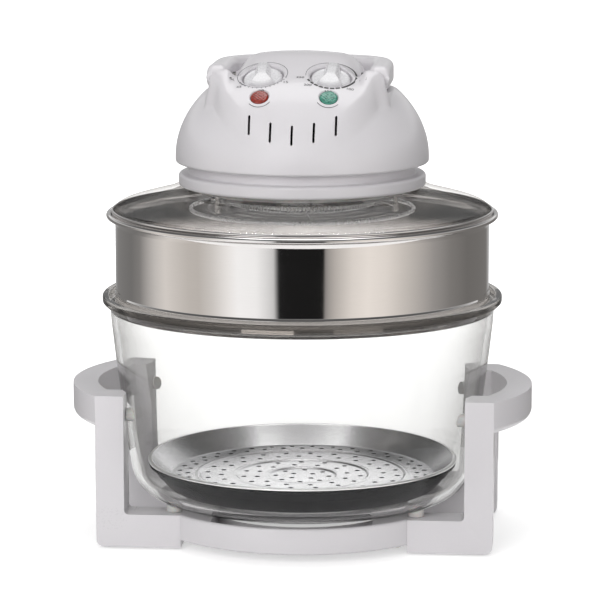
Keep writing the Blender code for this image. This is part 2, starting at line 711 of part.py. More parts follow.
# Bowl, pan, tray and extension ring
def make_bowl(parts, looks):
    flange_start = BOWL_TOP - BOWL_RIM_HEIGHT
    lip_inner = BOWL_RIM_RADIUS - BOWL_LIP_WIDTH
    ledge = BOWL_TOP - BOWL_LEDGE_DROP
    soft = BOWL_LIP_ROUND
    outer = [
        (BOWL_RIM_RADIUS - soft, BOWL_TOP), (BOWL_RIM_RADIUS, BOWL_TOP - soft),
        (BOWL_RIM_RADIUS, flange_start + soft), (BOWL_RIM_RADIUS - soft * 2, flange_start - soft * 2),
    ] + bowl_outer()
    inner = bowl_outer(-BOWL_WALL)[::-1]
    wall_inner = BOWL_WALL_RADIUS - BOWL_WALL
    rim = [(wall_inner, ledge), (lip_inner, ledge), (lip_inner, BOWL_TOP - soft), (lip_inner + soft, BOWL_TOP)]
    outline = [(0, BOWL_FLOOR)] + inner + rim + outer + [(0, BOWL_BOTTOM)]
    return turned("glass_bowl", outline, looks["glass"], parts, closed=False)


def make_extension_ring(parts, looks):
    inner = RING_RADIUS - RING_SHEET
    ledge_top = RING_SEAT + RING_LEDGE_HEIGHT
    bead_x = RING_TOP_RADIUS - RING_BEAD_RADIUS
    bead_z = ledge_top + RING_BEAD_RADIUS - RING_SHEET / 2
    bead = arc(
        (bead_x, bead_z), (RING_BEAD_RADIUS, RING_BEAD_RADIUS),
        RING_BEAD_START, RING_BEAD_END, RING_BEAD_SIDES,
    )
    skirt_top = RING_SEAT + RING_SKIRT
    outline = bead + [
        (RING_RADIUS + RING_SHEET, ledge_top - RING_SHEET),
        (RING_RADIUS, RING_SEAT + RING_WALL_HEIGHT),
        (RING_RADIUS, skirt_top + RING_SKIRT_BEAD), (RING_RADIUS + RING_SKIRT_BEAD, skirt_top),
        (RING_RADIUS + RING_SKIRT_BEAD, RING_SEAT), (inner, RING_SEAT),
        (inner, RING_SEAT + RING_WALL_HEIGHT), (RING_RADIUS, ledge_top),
        (bead_x - RING_BEAD_RADIUS, ledge_top),
    ]
    return turned("extension_ring", outline, looks["steel"], parts)


def make_drip_pan(parts, looks):
    sheet = PAN_SHEET
    outline = [
        (0, PAN_BOTTOM + sheet), (PAN_FLOOR_RADIUS, PAN_BOTTOM + sheet),
        (PAN_FOOT_RADIUS - sheet, PAN_BOTTOM + PAN_FOOT_RISE + sheet),
        (PAN_WALL_TOP_RADIUS - sheet, PAN_TOP), (PAN_FLANGE_RADIUS, PAN_TOP),
        (PAN_FLANGE_RADIUS, PAN_TOP - sheet), (PAN_WALL_TOP_RADIUS, PAN_TOP - sheet),
        (PAN_FOOT_RADIUS, PAN_BOTTOM + PAN_FOOT_RISE), (PAN_FLOOR_RADIUS, PAN_BOTTOM), (0, PAN_BOTTOM),
    ]
    return turned("drip_pan", outline, looks["dark"], parts, closed=False)


def tray_floor_line(height):
    """The tray's floor from the middle outwards, stepping up at each embossed ring."""
    line = [(0, height - TRAY_STEP_DROP * len(TRAY_STEP_RADII))]
    level = line[0][1]
    for radius in reversed(TRAY_STEP_RADII):
        line.append((radius - TRAY_STEP_WIDTH / 2, level))
        level += TRAY_STEP_DROP
        line.append((radius + TRAY_STEP_WIDTH / 2, level))
    return line


def make_tray(parts, cutters, looks):
    sheet = TRAY_SHEET
    rim_inner = TRAY_RIM_RADIUS - TRAY_RIM_WIDTH
    soft = sheet
    top_line = tray_floor_line(TRAY_FLOOR) + [
        (TRAY_FLOOR_RADIUS, TRAY_FLOOR), (rim_inner, TRAY_TOP - soft), (rim_inner + soft, TRAY_TOP),
        (TRAY_RIM_RADIUS - soft, TRAY_TOP), (TRAY_RIM_RADIUS, TRAY_TOP - soft), (TRAY_RIM_RADIUS, TRAY_SEAT),
    ]
    under_line = tray_floor_line(TRAY_FLOOR - sheet) + [
        (TRAY_FLOOR_RADIUS + sheet, TRAY_FLOOR - sheet), (rim_inner + sheet, TRAY_TOP - sheet * 2),
        (TRAY_RIM_RADIUS - sheet, TRAY_TOP - sheet * 2), (TRAY_RIM_RADIUS - sheet, TRAY_SEAT),
    ]
    tray = turned("perforated_tray", top_line + under_line[::-1], looks["bright"], parts, closed=False)
    holes = bmesh.new()
    depth = sheet * len(TRAY_STEP_RADII) + CUT_OVERRUN * 2
    for circle, (radius, count) in enumerate(TRAY_HOLE_CIRCLES):
        for index in range(count):
            angle = math.tau * (index + circle / 2) / count
            matrix = Matrix.Translation((radius * math.cos(angle), radius * math.sin(angle), TRAY_FLOOR))
            bmesh.ops.create_cone(
                holes, cap_ends=True, segments=TRAY_HOLE_SIDES, radius1=TRAY_HOLE_RADIUS,
                radius2=TRAY_HOLE_RADIUS, depth=depth, matrix=matrix,
            )
    drill = add_object("tray_holes", mesh_from_bmesh("tray_holes", holes), None, cutters)
    return combine(tray, [drill], "DIFFERENCE")


# Lid, band, gasket and the pieces under the head
def make_lid(parts, looks):
    glass, steel, silicone = looks["glass"], looks["steel"], looks["silicone"]
    span = LID_EDGE_RADIUS - LID_HOLE_RADIUS
    top = [(LID_EDGE_RADIUS - across * span, GLASS_EDGE_TOP + rise * LID_RISE) for across, rise in LID_PROFILE_SHARES]
    under = [(radius, height - LID_GLASS) for radius, height in top]
    lid = turned("lid_glass", top[::-1] + under, glass, parts)
    lip = BAND_RADIUS - BAND_LIP
    bore = LID_EDGE_RADIUS + FIT_GAP
    band_outline = [
        (bore, LID_SEAT + BAND_HEIGHT), (BAND_RADIUS, LID_SEAT + BAND_HEIGHT), (BAND_RADIUS, LID_SEAT),
        (lip, LID_SEAT), (lip, LID_SEAT + BAND_SHEET), (bore, LID_SEAT + BAND_SHEET),
    ]
    band = turned("lid_band", band_outline, steel, parts)
    gasket_outer = LID_HOLE_RADIUS - FIT_GAP
    gasket_outline = [
        (gasket_outer - GASKET_WIDTH, HOUSING_FLOOR), (gasket_outer, HOUSING_FLOOR),
        (gasket_outer, HOUSING_FLOOR - GASKET_HEIGHT), (gasket_outer - GASKET_WIDTH, HOUSING_FLOOR - GASKET_HEIGHT),
    ]
    gasket = turned("lid_gasket", gasket_outline, silicone, parts)
    return [lid, band, gasket]


def make_heater(parts, cutters, looks):
    bright, steel, ceramic, tube_look = looks["bright"], looks["steel"], looks["ceramic"], looks["tube"]
    hole = SHAFT_RADIUS + SHAFT_HOLE_SLACK
    shield_outline = [
        (hole, SHIELD_TOP), (SHIELD_RADIUS, SHIELD_TOP), (SHIELD_RADIUS, SHIELD_BOTTOM), (hole, SHIELD_BOTTOM),
    ]
    shield = turned("heat_shield", shield_outline, steel, parts, HIDDEN_TURN_STEPS)
    sheet = SHIELD_THICKNESS
    reflector_outline = [
        (hole, REFLECTOR_TOP), (REFLECTOR_RADIUS, REFLECTOR_TOP),
        (REFLECTOR_RADIUS, REFLECTOR_TOP - REFLECTOR_SKIRT),
        (REFLECTOR_RADIUS - sheet, REFLECTOR_TOP - REFLECTOR_SKIRT),
        (REFLECTOR_RADIUS - sheet, REFLECTOR_TOP - sheet), (hole, REFLECTOR_TOP - sheet),
    ]
    reflector = turned("reflector", reflector_outline, bright, parts, HIDDEN_TURN_STEPS)
    made = [shield, reflector, make_halogen_tube(parts, tube_look)]
    under = REFLECTOR_TOP - sheet - FIT_GAP
    for side, sign in SIDES:
        holder = box(
            "tube_holder_" + side,
            (TUBE_RING_RADIUS - HOLDER_DEPTH / 2, -HOLDER_WIDTH / 2, TUBE_HEIGHT - HOLDER_BELOW_TUBE),
            (TUBE_RING_RADIUS + HOLDER_DEPTH / 2, HOLDER_WIDTH / 2, under), ceramic, parts,
        )
        holder.rotation_euler.z = math.radians(90) - sign * HOLDER_ANGLE
        made.append(holder)
    bulb = rod(
        "thermostat_bulb", (0, -BULB_CIRCLE, under - BULB_LENGTH), (0, -BULB_CIRCLE, under),
        BULB_RADIUS, steel, parts,
    )
    made += [bulb] + make_guard(parts, cutters, steel)
    return made


def make_halogen_tube(parts, material):
    """One glass ring, open at the rear where its two ends enter the holders."""
    half_gap = HOLDER_ANGLE + (HOLDER_WIDTH / 2 + HOLDER_SEAT) / TUBE_RING_RADIUS
    curve = bpy.data.curves.new("halogen_tube", "CURVE")
    curve.dimensions = "3D"
    curve.bevel_depth = TUBE_RADIUS
    curve.bevel_resolution = 2
    curve.use_fill_caps = True
    spline = curve.splines.new("POLY")
    spline.points.add(TUBE_POINTS - 1)
    for index, point in enumerate(spline.points):
        share = index / (TUBE_POINTS - 1)
        angle = math.radians(90) + half_gap + (math.tau - 2 * half_gap) * share
        point.co = (TUBE_RING_RADIUS * math.cos(angle), TUBE_RING_RADIUS * math.sin(angle), TUBE_HEIGHT, 1)
    return add_object("halogen_tube", curve, material, parts)


def wire_ring(name, radius, height, wire, steps, material, collection):
    outline = arc((radius, height), (wire, wire), 0, -math.tau, WIRE_SIDES)[:-1]
    return turned(name, outline, material, collection, steps)


def make_guard(parts, cutters, material):
    wire = GUARD_WIRE
    ring = wire_ring("guard_ring", GUARD_RADIUS, GUARD_HEIGHT, wire, GUARD_STEPS, material, parts)
    helpers = []
    for index, share in enumerate(GUARD_INNER_SHARES):
        helpers.append(wire_ring(
            "guard_inner_%d" % index, GUARD_RADIUS * share, GUARD_HEIGHT, GUARD_INNER_WIRE,
            SMALL_TURN_STEPS, None, cutters,
        ))
    made = [ring]
    foot = GUARD_HEIGHT + wire + FIT_GAP
    for index, angle in enumerate(GUARD_SPOKE_ANGLES):
        ahead = Vector((math.cos(angle), math.sin(angle), 0))
        level = Vector((0, 0, GUARD_HEIGHT))
        helpers.append(rod(
            "guard_spoke_%d" % index, level - ahead * wire, level + ahead * GUARD_RADIUS, wire, None, cutters, SPOKE_SIDES,
        ))
        spot = ahead * GUARD_POST_CIRCLE
        made.append(rod(
            "guard_post_%d" % (index + 1), spot + Vector((0, 0, foot)),
            spot + Vector((0, 0, REFLECTOR_TOP)), GUARD_POST_RADIUS, material, parts,
        ))
    combine(ring, helpers, "UNION")
    return made


# Head
def make_lower_housing(parts, looks):
    wall, soft = HEAD_WALL, COLLAR_ROUND
    outline = [
        (NECK_RADIUS, NECK_TOP), (NECK_RADIUS, COLLAR_TOP), (COLLAR_RADIUS - soft, COLLAR_TOP),
        (COLLAR_RADIUS, COLLAR_TOP - soft), (COLLAR_RADIUS, COLLAR_BOTTOM + soft),
        (COLLAR_RADIUS - soft, COLLAR_BOTTOM), (LID_HOLE_RADIUS, COLLAR_BOTTOM), (LID_HOLE_RADIUS, HOUSING_FLOOR),
        (COLLAR_RADIUS - wall, HOUSING_FLOOR), (COLLAR_RADIUS - wall, COLLAR_TOP - wall),
        (NECK_RADIUS - wall, COLLAR_TOP - wall), (NECK_RADIUS - wall, NECK_TOP),
    ]
    return turned("lower_housing", outline, looks["white"], parts)


def dome_side(inset, deck):
    """The dome's side from the deck down to its widest circle."""
    radii = (DOME_RADIUS - inset, DOME_RISE - inset)
    start = math.asin((deck - DOME_CENTRE) / radii[1])
    return arc((0, DOME_CENTRE), radii, start, 0, DOME_STEPS)


def dome_radius_at(height):
    share = (height - DOME_CENTRE) / DOME_RISE
    return DOME_RADIUS * math.sqrt(max(0.0, 1 - share * share))


def hump_line(reach):
    """Height of the hump's centre line, a smooth curve through the listed shares."""
    shares = HUMP_LINE_SHARES
    where = min(max(reach / HUMP_REACH, shares[-1][0]), shares[0][0])
    index = 0
    while index < len(shares) - 2 and where < shares[index + 1][0]:
        index += 1
    before = shares[max(index - 1, 0)]
    start, end = shares[index], shares[index + 1]
    after = shares[min(index + 2, len(shares) - 1)]
    span = end[0] - start[0]
    t = (where - start[0]) / span
    slope_start = (end[1] - before[1]) / (end[0] - before[0]) * span
    slope_end = (after[1] - start[1]) / (after[0] - start[0]) * span
    level = (
        (2 * t**3 - 3 * t**2 + 1) * start[1] + (t**3 - 2 * t**2 + t) * slope_start
        + (3 * t**2 - 2 * t**3) * end[1] + (t**3 - t**2) * slope_end
    )
    return HUMP_TOE_HEIGHT + level * HUMP_RISE


def ease(start, end, value):
    share = min(max((value - start) / (end - start), 0.0), 1.0)
    return share * share * (3 - 2 * share)


def hump_surface(x, y):
    shoulder = ease(SHOULDER_INNER_X, SHOULDER_OUTER_X, abs(x)) * ease(SHOULDER_FRONT, SHOULDER_BACK, -y)
    return hump_line(-y) - x * x / (2 * HUMP_CROWN_RADIUS) + SHOULDER_LIFT * shoulder


def hump_edge(angle, half_width, reach, back):
    """Where the hump's outline lies in plan, at an angle from +X."""
    cosine, sine = math.cos(angle), math.sin(angle)
    squareness = HUMP_SQUARENESS if sine < 0 else HUMP_BACK_SQUARENESS
    along = reach if sine < 0 else back
    x = half_width * math.copysign(abs(cosine) ** (2 / squareness), cosine)
    y = along * math.copysign(abs(sine) ** (2 / squareness), sine)
    return x, y


def hump_solid(name, half_width, reach, back, sink, round_by, root, collection):
    """The control hump down to a flat root inside the dome, as rings of points out from its middle."""
    middle_y = -reach * HUMP_MIDDLE_SHARE
    shape = bmesh.new()
    centre = shape.verts.new((0, middle_y, hump_surface(0, middle_y) - sink))
    rings = []
    for share in HUMP_RING_SHARES:
        ring = []
        for index in range(HUMP_ANGLES):
            edge_x, edge_y = hump_edge(math.tau * index / HUMP_ANGLES, half_width, reach, back)
            x, y = edge_x * share, middle_y + (edge_y - middle_y) * share
            height = hump_surface(x, y) - sink
            if round_by:
                height -= edge_drop(edge_x, edge_y, math.hypot(edge_x - x, edge_y - y), round_by)
            ring.append(shape.verts.new((x, y, height)))
        rings.append(ring)
    rings.append([shape.verts.new((vert.co.x, vert.co.y, root)) for vert in rings[-1]])
    last = HUMP_ANGLES - 1
    for index in range(HUMP_ANGLES):
        after = 0 if index == last else index + 1
        shape.faces.new((centre, rings[0][index], rings[0][after]))
        for inner, outer in zip(rings, rings[1:]):
            shape.faces.new((inner[index], outer[index], outer[after], inner[after]))
    shape.faces.new(rings[-1][::-1])
    return add_object(name, mesh_from_bmesh(name, shape), None, collection)


def edge_drop(edge_x, edge_y, inside, round_by):
    """How far the rounded edge falls, less where the hump's side is low."""
    flat = math.hypot(edge_x, edge_y)
    side = DOME_CENTRE + DOME_RISE * math.sqrt(max(0.0, 1 - (flat / DOME_RADIUS) ** 2))
    height = max(hump_surface(edge_x, edge_y) - max(side, HUMP_TOE_HEIGHT), 0.0)
    radius = min(round_by, height * HUMP_EDGE_SHARE)
    if inside >= radius or radius <= 0:
        return 0.0
    return radius - math.sqrt(max(0.0, radius**2 - (radius - inside) ** 2))


def surface_frame(x, y, pitch, splay):
    """A frame on the hump's surface, with Z along the outward normal and X across."""
    turn = Matrix.Rotation(splay, 4, "Y") @ Matrix.Rotation(pitch, 4, "X")
    return Matrix.Translation((x, y, hump_surface(x, y))) @ turn


def dial_frame(sign):
    return surface_frame(sign * DIAL_X, -DIAL_Y, DIAL_PITCH, sign * DIAL_SPLAY)


def lamp_frame(sign):
    return surface_frame(sign * DIAL_X, -LAMP_Y, LAMP_PITCH, sign * DIAL_SPLAY)


def local_cylinder(name, matrix, radius, low, high, material, collection, sides=SMALL_TURN_STEPS):
    made = rod(name, (0, 0, low), (0, 0, high), radius, material, collection, sides)
    made.matrix_world = matrix
    return made


def make_upper_housing(parts, cutters, looks):
    soft = DOME_SKIRT_ROUND
    deck_edge = dome_side(0, DECK_TOP)[0][0]
    outline = [(0, DECK_TOP), (deck_edge - DECK_ROUND, DECK_TOP)]
    outline += dome_side(0, DECK_TOP - DECK_ROUND)
    outline += [
        (DOME_RADIUS, DOME_BOTTOM + soft), (DOME_RADIUS - soft, DOME_BOTTOM), (0, DOME_BOTTOM),
    ]
    housing = turned("upper_housing", outline, looks["white"], parts, closed=False)
    hump = hump_solid(
        "hump", HUMP_HALF_WIDTH, HUMP_REACH, HUMP_BACK, 0, HUMP_EDGE_ROUND, DOME_CENTRE + HUMP_ROOT, cutters,
    )
    combine(housing, [hump], "UNION")
    inner = [(0, DECK_TOP - HEAD_WALL)] + dome_side(HEAD_WALL, DECK_TOP - HEAD_WALL)[:-1] + [
        (DOME_RADIUS - HEAD_WALL, DOME_BOTTOM + HEAD_WALL), (DOME_INNER_EDGE, DOME_BOTTOM + HEAD_WALL),
        (DOME_INNER_EDGE, DOME_BOTTOM - CUT_OVERRUN), (0, DOME_BOTTOM - CUT_OVERRUN),
    ]
    cavity = turned("dome_cavity", inner, None, cutters, closed=False)
    hump_cavity = hump_solid(
        "hump_cavity", ISLAND_HALF_WIDTH - HEAD_WALL, HUMP_REACH - HUMP_TOP_WALL,
        HUMP_BACK - HEAD_WALL, HUMP_TOP_WALL, 0, DOME_CENTRE + HUMP_ROOT - HUMP_TOP_WALL, cutters,
    )
    tools = [cavity, hump_cavity]
    for side, sign in SIDES:
        near, far = sign * ISLAND_HALF_WIDTH, sign * DOME_RADIUS
        tools.append(box(
            "arm_slot_" + side, (min(near, far), -ARM_SLOT_FRONT, DECK_TOP - ARM_CHANNEL),
            (max(near, far), HUMP_REACH, DECK_TOP + HUMP_RISE), None, cutters,
        ))
        tools.append(rod(
            "pin_hole_" + side, (sign * ISLAND_HALF_WIDTH / 2, -HANDLE_PIVOT, HANDLE_PIVOT_HEIGHT),
            (sign * HUMP_HALF_WIDTH, -HANDLE_PIVOT, HANDLE_PIVOT_HEIGHT), PIN_RADIUS + PIN_SLACK, None, cutters,
        ))
        tools.append(rod(
            "pin_head_recess_" + side, (sign * ISLAND_HALF_WIDTH / 2, -HANDLE_PIVOT, HANDLE_PIVOT_HEIGHT),
            (sign * (ISLAND_HALF_WIDTH - HEAD_WALL), -HANDLE_PIVOT, HANDLE_PIVOT_HEIGHT),
            PIN_HEAD_RADIUS + PIN_SLACK * 2, None, cutters,
        ))
    combine(housing, tools, "DIFFERENCE")
    cups, bores = [], []
    for side, sign in SIDES:
        frame = dial_frame(sign)
        cups.append(local_cylinder(
            "dial_cup_" + side, frame, CUP_RADIUS, -RECESS_DEPTH - CUP_FLOOR, -CUP_TOP_DEPTH, None, cutters,
        ))
        bores.append(local_cylinder(
            "dial_recess_" + side, frame, RECESS_RADIUS, -RECESS_DEPTH, CUT_OVERRUN * 2, None, cutters,
        ))
        bores.append(local_cylinder(
            "dial_bore_" + side, frame, KNOB_STEM_RADIUS + SCREW_HOLE_SLACK,
            -RECESS_DEPTH - CUP_FLOOR - CUT_OVERRUN, 0, None, cutters, TINY_TURN_STEPS,
        ))
        bores.append(local_cylinder(
            "lamp_hole_" + side, lamp_frame(sign), LAMP_RADIUS + FIT_GAP, -LAMP_LENGTH * 2, CUT_OVERRUN,
            None, cutters, SMALL_TURN_STEPS,
        ))
    combine(housing, cups, "UNION")
    bores += make_vents(cutters)
    bores.append(rod(
        "plunger_hole", (plunger_x(), SWITCH_Y, DECK_TOP - HEAD_WALL - CUT_OVERRUN),
        (plunger_x(), SWITCH_Y, DECK_TOP + CUT_OVERRUN), PLUNGER_RADIUS + PLUNGER_HOLE_SLACK, None, cutters,
    ))
    bores.append(rod(
        "gland_hole", (0, DOME_RADIUS / 2, DOME_CENTRE + GLAND_HEIGHT), (0, DOME_RADIUS * 2, DOME_CENTRE + GLAND_HEIGHT),
        GLAND_NECK_RADIUS + FIT_GAP * 2, None, cutters, SMALL_TURN_STEPS,
    ))
    return combine(housing, bores, "DIFFERENCE")


def make_vents(cutters):
    """Five upright slots low on the hump's front."""
    made = []
    middle = (len(VENT_TOPS) - 1) / 2
    for index, top in enumerate(VENT_TOPS):
        x = (index - middle) * VENT_SPACING
        made.append(box(
            "vent_%d" % index, (x - VENT_WIDTH / 2, -HUMP_REACH - CUT_OVERRUN, DOME_CENTRE + top - VENT_HEIGHT),
            (x + VENT_WIDTH / 2, -VENT_FRONT, DOME_CENTRE + top), None, cutters,
        ))
    return made


def plunger_x():
    return ISLAND_HALF_WIDTH + HANDLE_CLEARANCE + HANDLE_WIDTH / 2


def handle_edge(half_width, back):
    """One side of the hoop in plan, from its left front end round the rear to its right front end."""
    points = [(-half_width, 0)]
    depth = back - HANDLE_CORNER_START
    for index in range(HANDLE_STEPS * 2 + 1):
        angle = math.pi - math.pi * index / (HANDLE_STEPS * 2)
        cosine, sine = math.cos(angle), max(math.sin(angle), 0.0)
        x = half_width * math.copysign(abs(cosine) ** (2 / HANDLE_SQUARENESS), cosine)
        y = HANDLE_PIVOT + HANDLE_CORNER_START + depth * sine ** (2 / HANDLE_SQUARENESS)
        points.append((x, y))
    points.append((half_width, 0))
    return points


def make_handle(parts, cutters, looks):
    inner = ISLAND_HALF_WIDTH + HANDLE_CLEARANCE
    outer = inner + HANDLE_WIDTH
    outline = handle_edge(outer, HANDLE_BACK) + handle_edge(inner, HANDLE_BACK - HANDLE_WIDTH)[::-1]
    pivot = Vector((0, -HANDLE_PIVOT, HANDLE_PIVOT_HEIGHT))
    handle = plate("carrying_handle", [outline], HANDLE_HEIGHT, Matrix.Identity(4), looks["white"], parts)
    handle.location = pivot
    add_bevel(handle, HANDLE_ROUND)
    ends, holes = [], []
    for side, sign in SIDES:
        ends.append(rod(
            "handle_end_" + side, pivot + Vector((sign * inner, 0, 0)), pivot + Vector((sign * outer, 0, 0)),
            HANDLE_HEIGHT / 2, None, cutters, HANDLE_END_STEPS,
        ))
        add_bevel(ends[-1], LEG_ROUND)
        start = sign * (inner - CUT_OVERRUN)
        end = sign * (ISLAND_HALF_WIDTH - HEAD_WALL + PIN_LENGTH)
        holes.append(rod(
            "handle_hole_" + side, pivot + Vector((start, 0, 0)), pivot + Vector((end, 0, 0)),
            PIN_RADIUS + PIN_SLACK, None, cutters,
        ))
    combine(handle, ends, "UNION")
    combine(handle, holes, "DIFFERENCE")
    return handle


def make_handle_pins(parts, looks):
    """Headed pins, pushed out through the island's walls into the handle's arms."""
    made = []
    outline = [
        (0, PIN_LENGTH), (PIN_RADIUS, PIN_LENGTH), (PIN_RADIUS, 0), (PIN_HEAD_RADIUS, 0),
        (PIN_HEAD_RADIUS, -PIN_HEAD_HEIGHT), (0, -PIN_HEAD_HEIGHT),
    ]
    for side, sign in SIDES:
        pin = turned("handle_pin_" + side, outline, looks["steel"], parts, TINY_TURN_STEPS, closed=False)
        pin.rotation_euler.y = sign * math.radians(90)
        pin.location = (
            sign * (ISLAND_HALF_WIDTH - HEAD_WALL - PIN_SLACK), -HANDLE_PIVOT, HANDLE_PIVOT_HEIGHT,
        )
        made.append(pin)
    return made


def make_knob(name, sign, parts, cutters, looks):
    """A disc with a raised grip blade and a stem that goes down through the cup's floor."""
    floor = FIT_GAP * 2 - RECESS_DEPTH
    disc_top = floor + KNOB_DISC
    knob = local_cylinder(name, dial_frame(sign), KNOB_RADIUS, floor, disc_top, looks["knob"], parts)
    blade = box(
        name + "_blade",
        (-KNOB_BLADE_WIDTH / 2, -KNOB_RADIUS + KNOB_BLADE_ROUND, floor + KNOB_BLADE_ROUND),
        (KNOB_BLADE_WIDTH / 2, KNOB_RADIUS - KNOB_BLADE_ROUND, KNOB_BLADE_RISE), None, cutters, KNOB_BLADE_ROUND,
    )
    blade.matrix_world = dial_frame(sign)
    stem = local_cylinder(
        name + "_stem", dial_frame(sign), KNOB_STEM_RADIUS, -RECESS_DEPTH - CUP_FLOOR,
        floor + KNOB_DISC / 2, None, cutters, TINY_TURN_STEPS,
    )
    return combine(knob, [blade, stem], "UNION")


def make_controls(parts, cutters, looks):
    black, steel = looks["black"], looks["steel"]
    made = []
    top = -RECESS_DEPTH - CUP_FLOOR - FIT_GAP
    made.append(local_cylinder(
        "timer_body", dial_frame(-1), TIMER_RADIUS, top - TIMER_LENGTH, top, steel, parts,
    ))
    made.append(local_cylinder(
        "thermostat_body", dial_frame(1), THERMOSTAT_RADIUS, top - THERMOSTAT_LENGTH, top, steel, parts,
    ))
    for name, sign, look in (("power_lamp", -1, "red"), ("heat_lamp", 1, "green")):
        outline = [(0, LAMP_PROUD)] + [
            (LAMP_RADIUS * LAMP_DOME_SHARE, LAMP_PROUD * (1 + LAMP_DOME_SHARE) / 2), (LAMP_RADIUS, 0),
            (LAMP_RADIUS, -LAMP_LENGTH), (0, -LAMP_LENGTH),
        ]
        lamp = turned(name, outline, looks[look], parts, SMALL_TURN_STEPS, closed=False)
        lamp.matrix_world = lamp_frame(sign)
        made.append(lamp)
    switch_top = DECK_TOP - HEAD_WALL - FIT_GAP
    x = plunger_x()
    made.append(box(
        "safety_switch", (x - SWITCH_WIDTH / 2, SWITCH_Y - SWITCH_LENGTH / 2, switch_top - SWITCH_HEIGHT),
        (x + SWITCH_WIDTH / 2, SWITCH_Y + SWITCH_LENGTH / 2, switch_top), black, parts,
    ))
    made.append(box(
        "terminal_block", (-TERMINAL_WIDTH / 2, TERMINAL_Y - TERMINAL_DEPTH / 2, SHIELD_TOP + FIT_GAP),
        (TERMINAL_WIDTH / 2, TERMINAL_Y + TERMINAL_DEPTH / 2, SHIELD_TOP + FIT_GAP + TERMINAL_HEIGHT), black, parts,
    ))
    flange_y = dome_radius_at(DOME_CENTRE + GLAND_HEIGHT - GLAND_FLANGE_RADIUS) + GLAND_STANDOFF
    gland_outline = [
        (GLAND_BORE, GLAND_FLANGE), (GLAND_FLANGE_RADIUS, GLAND_FLANGE), (GLAND_FLANGE_RADIUS, 0),
        (GLAND_NECK_RADIUS, 0), (GLAND_NECK_RADIUS, -GLAND_INSIDE), (GLAND_BORE, -GLAND_INSIDE),
    ]
    gland = turned("cord_gland", gland_outline, black, parts, SMALL_TURN_STEPS)
    gland.rotation_euler.x = math.radians(-90)
    gland.location = (0, flange_y, DOME_CENTRE + GLAND_HEIGHT)
    made.append(gland)
    return made


def make_plunger(parts, looks):
    bottom = DECK_TOP - HEAD_WALL
    x = plunger_x()
    plunger = rod(
        "switch_plunger", (x, SWITCH_Y, bottom), (x, SWITCH_Y, HANDLE_BOTTOM - FIT_GAP),
        PLUNGER_RADIUS, looks["red"], parts,
    )
    set_origin(plunger, (x, SWITCH_Y, bottom))
    return plunger


# Motor and fans
def make_motor(parts, cutters, looks):
    steel, core, copper = looks["steel"], looks["core"], looks["copper"]
    foot = SHIELD_TOP + FIT_GAP
    half, sheet = BRACKET_HALF_WIDTH, BRACKET_SHEET
    bridge = [
        (-half, foot), (sheet - half, foot), (sheet - half, BRACKET_TOP - sheet), (half - sheet, BRACKET_TOP - sheet),
        (half - sheet, foot), (half, foot), (half, BRACKET_TOP), (-half, BRACKET_TOP),
    ]
    upright = Matrix.Rotation(math.radians(90), 4, "X")
    bracket = plate("motor_bracket", [bridge], BRACKET_DEPTH, upright, steel, parts)
    shaft_hole = SHAFT_RADIUS + SHAFT_HOLE_SLACK / 2
    combine(bracket, [rod(
        "bracket_hole", (0, 0, BRACKET_TOP - sheet - CUT_OVERRUN), (0, 0, BRACKET_TOP + CUT_OVERRUN),
        shaft_hole, None, cutters,
    )], "DIFFERENCE")
    stator = box(
        "motor_stator", (-STATOR_WIDTH / 2, -STATOR_DEPTH / 2, STATOR_BOTTOM),
        (STATOR_WIDTH / 2, STATOR_DEPTH / 2, STATOR_TOP), core, parts,
    )
    combine(stator, [rod(
        "stator_bore", (0, 0, STATOR_BOTTOM - CUT_OVERRUN), (0, 0, STATOR_TOP + CUT_OVERRUN),
        ROTOR_RADIUS + ROTOR_AIR_GAP, None, cutters, SMALL_TURN_STEPS,
    )], "DIFFERENCE")
    coil_start = STATOR_WIDTH / 2 + FIT_GAP
    coil = box(
        "motor_coil", (coil_start, -COIL_DEPTH / 2, STATOR_BOTTOM),
        (coil_start + COIL_WIDTH, COIL_DEPTH / 2, STATOR_TOP), copper, parts, COIL_ROUND,
    )
    bearing = box(
        "bearing_plate", (-STATOR_WIDTH / 2, -BEARING_PLATE_DEPTH / 2, BEARING_BOTTOM),
        (STATOR_WIDTH / 2, BEARING_PLATE_DEPTH / 2, BEARING_TOP), steel, parts,
    )
    combine(bearing, [rod(
        "bearing_hole", (0, 0, BEARING_BOTTOM - CUT_OVERRUN), (0, 0, BEARING_TOP + CUT_OVERRUN),
        SHAFT_RADIUS + FIT_GAP, None, cutters,
    )], "DIFFERENCE")
    return [bracket, stator, coil, bearing]


def make_fan(name, bottom, height, radius, parts, cutters, material):
    """A plate with upright vanes and a hub that is pushed on the shaft."""
    bore = SHAFT_RADIUS + FIT_GAP
    outline = [
        (bore, bottom + height), (FAN_HUB_RADIUS, bottom + height), (FAN_HUB_RADIUS, bottom + FAN_PLATE),
        (radius, bottom + FAN_PLATE), (radius, bottom), (bore, bottom),
    ]
    fan = turned(name, outline, material, parts, SMALL_TURN_STEPS)
    vanes = []
    for index in range(FAN_VANES):
        vane = box(
            name + "_vane_%d" % index,
            (FAN_HUB_RADIUS * 2, -FAN_VANE_THICKNESS / 2, bottom + FAN_PLATE / 2),
            (radius - FAN_PLATE, FAN_VANE_THICKNESS / 2, bottom + height - FAN_PLATE), None, cutters,
        )
        vane.rotation_euler.z = math.tau * index / FAN_VANES
        vanes.append(vane)
    return combine(fan, vanes, "UNION")


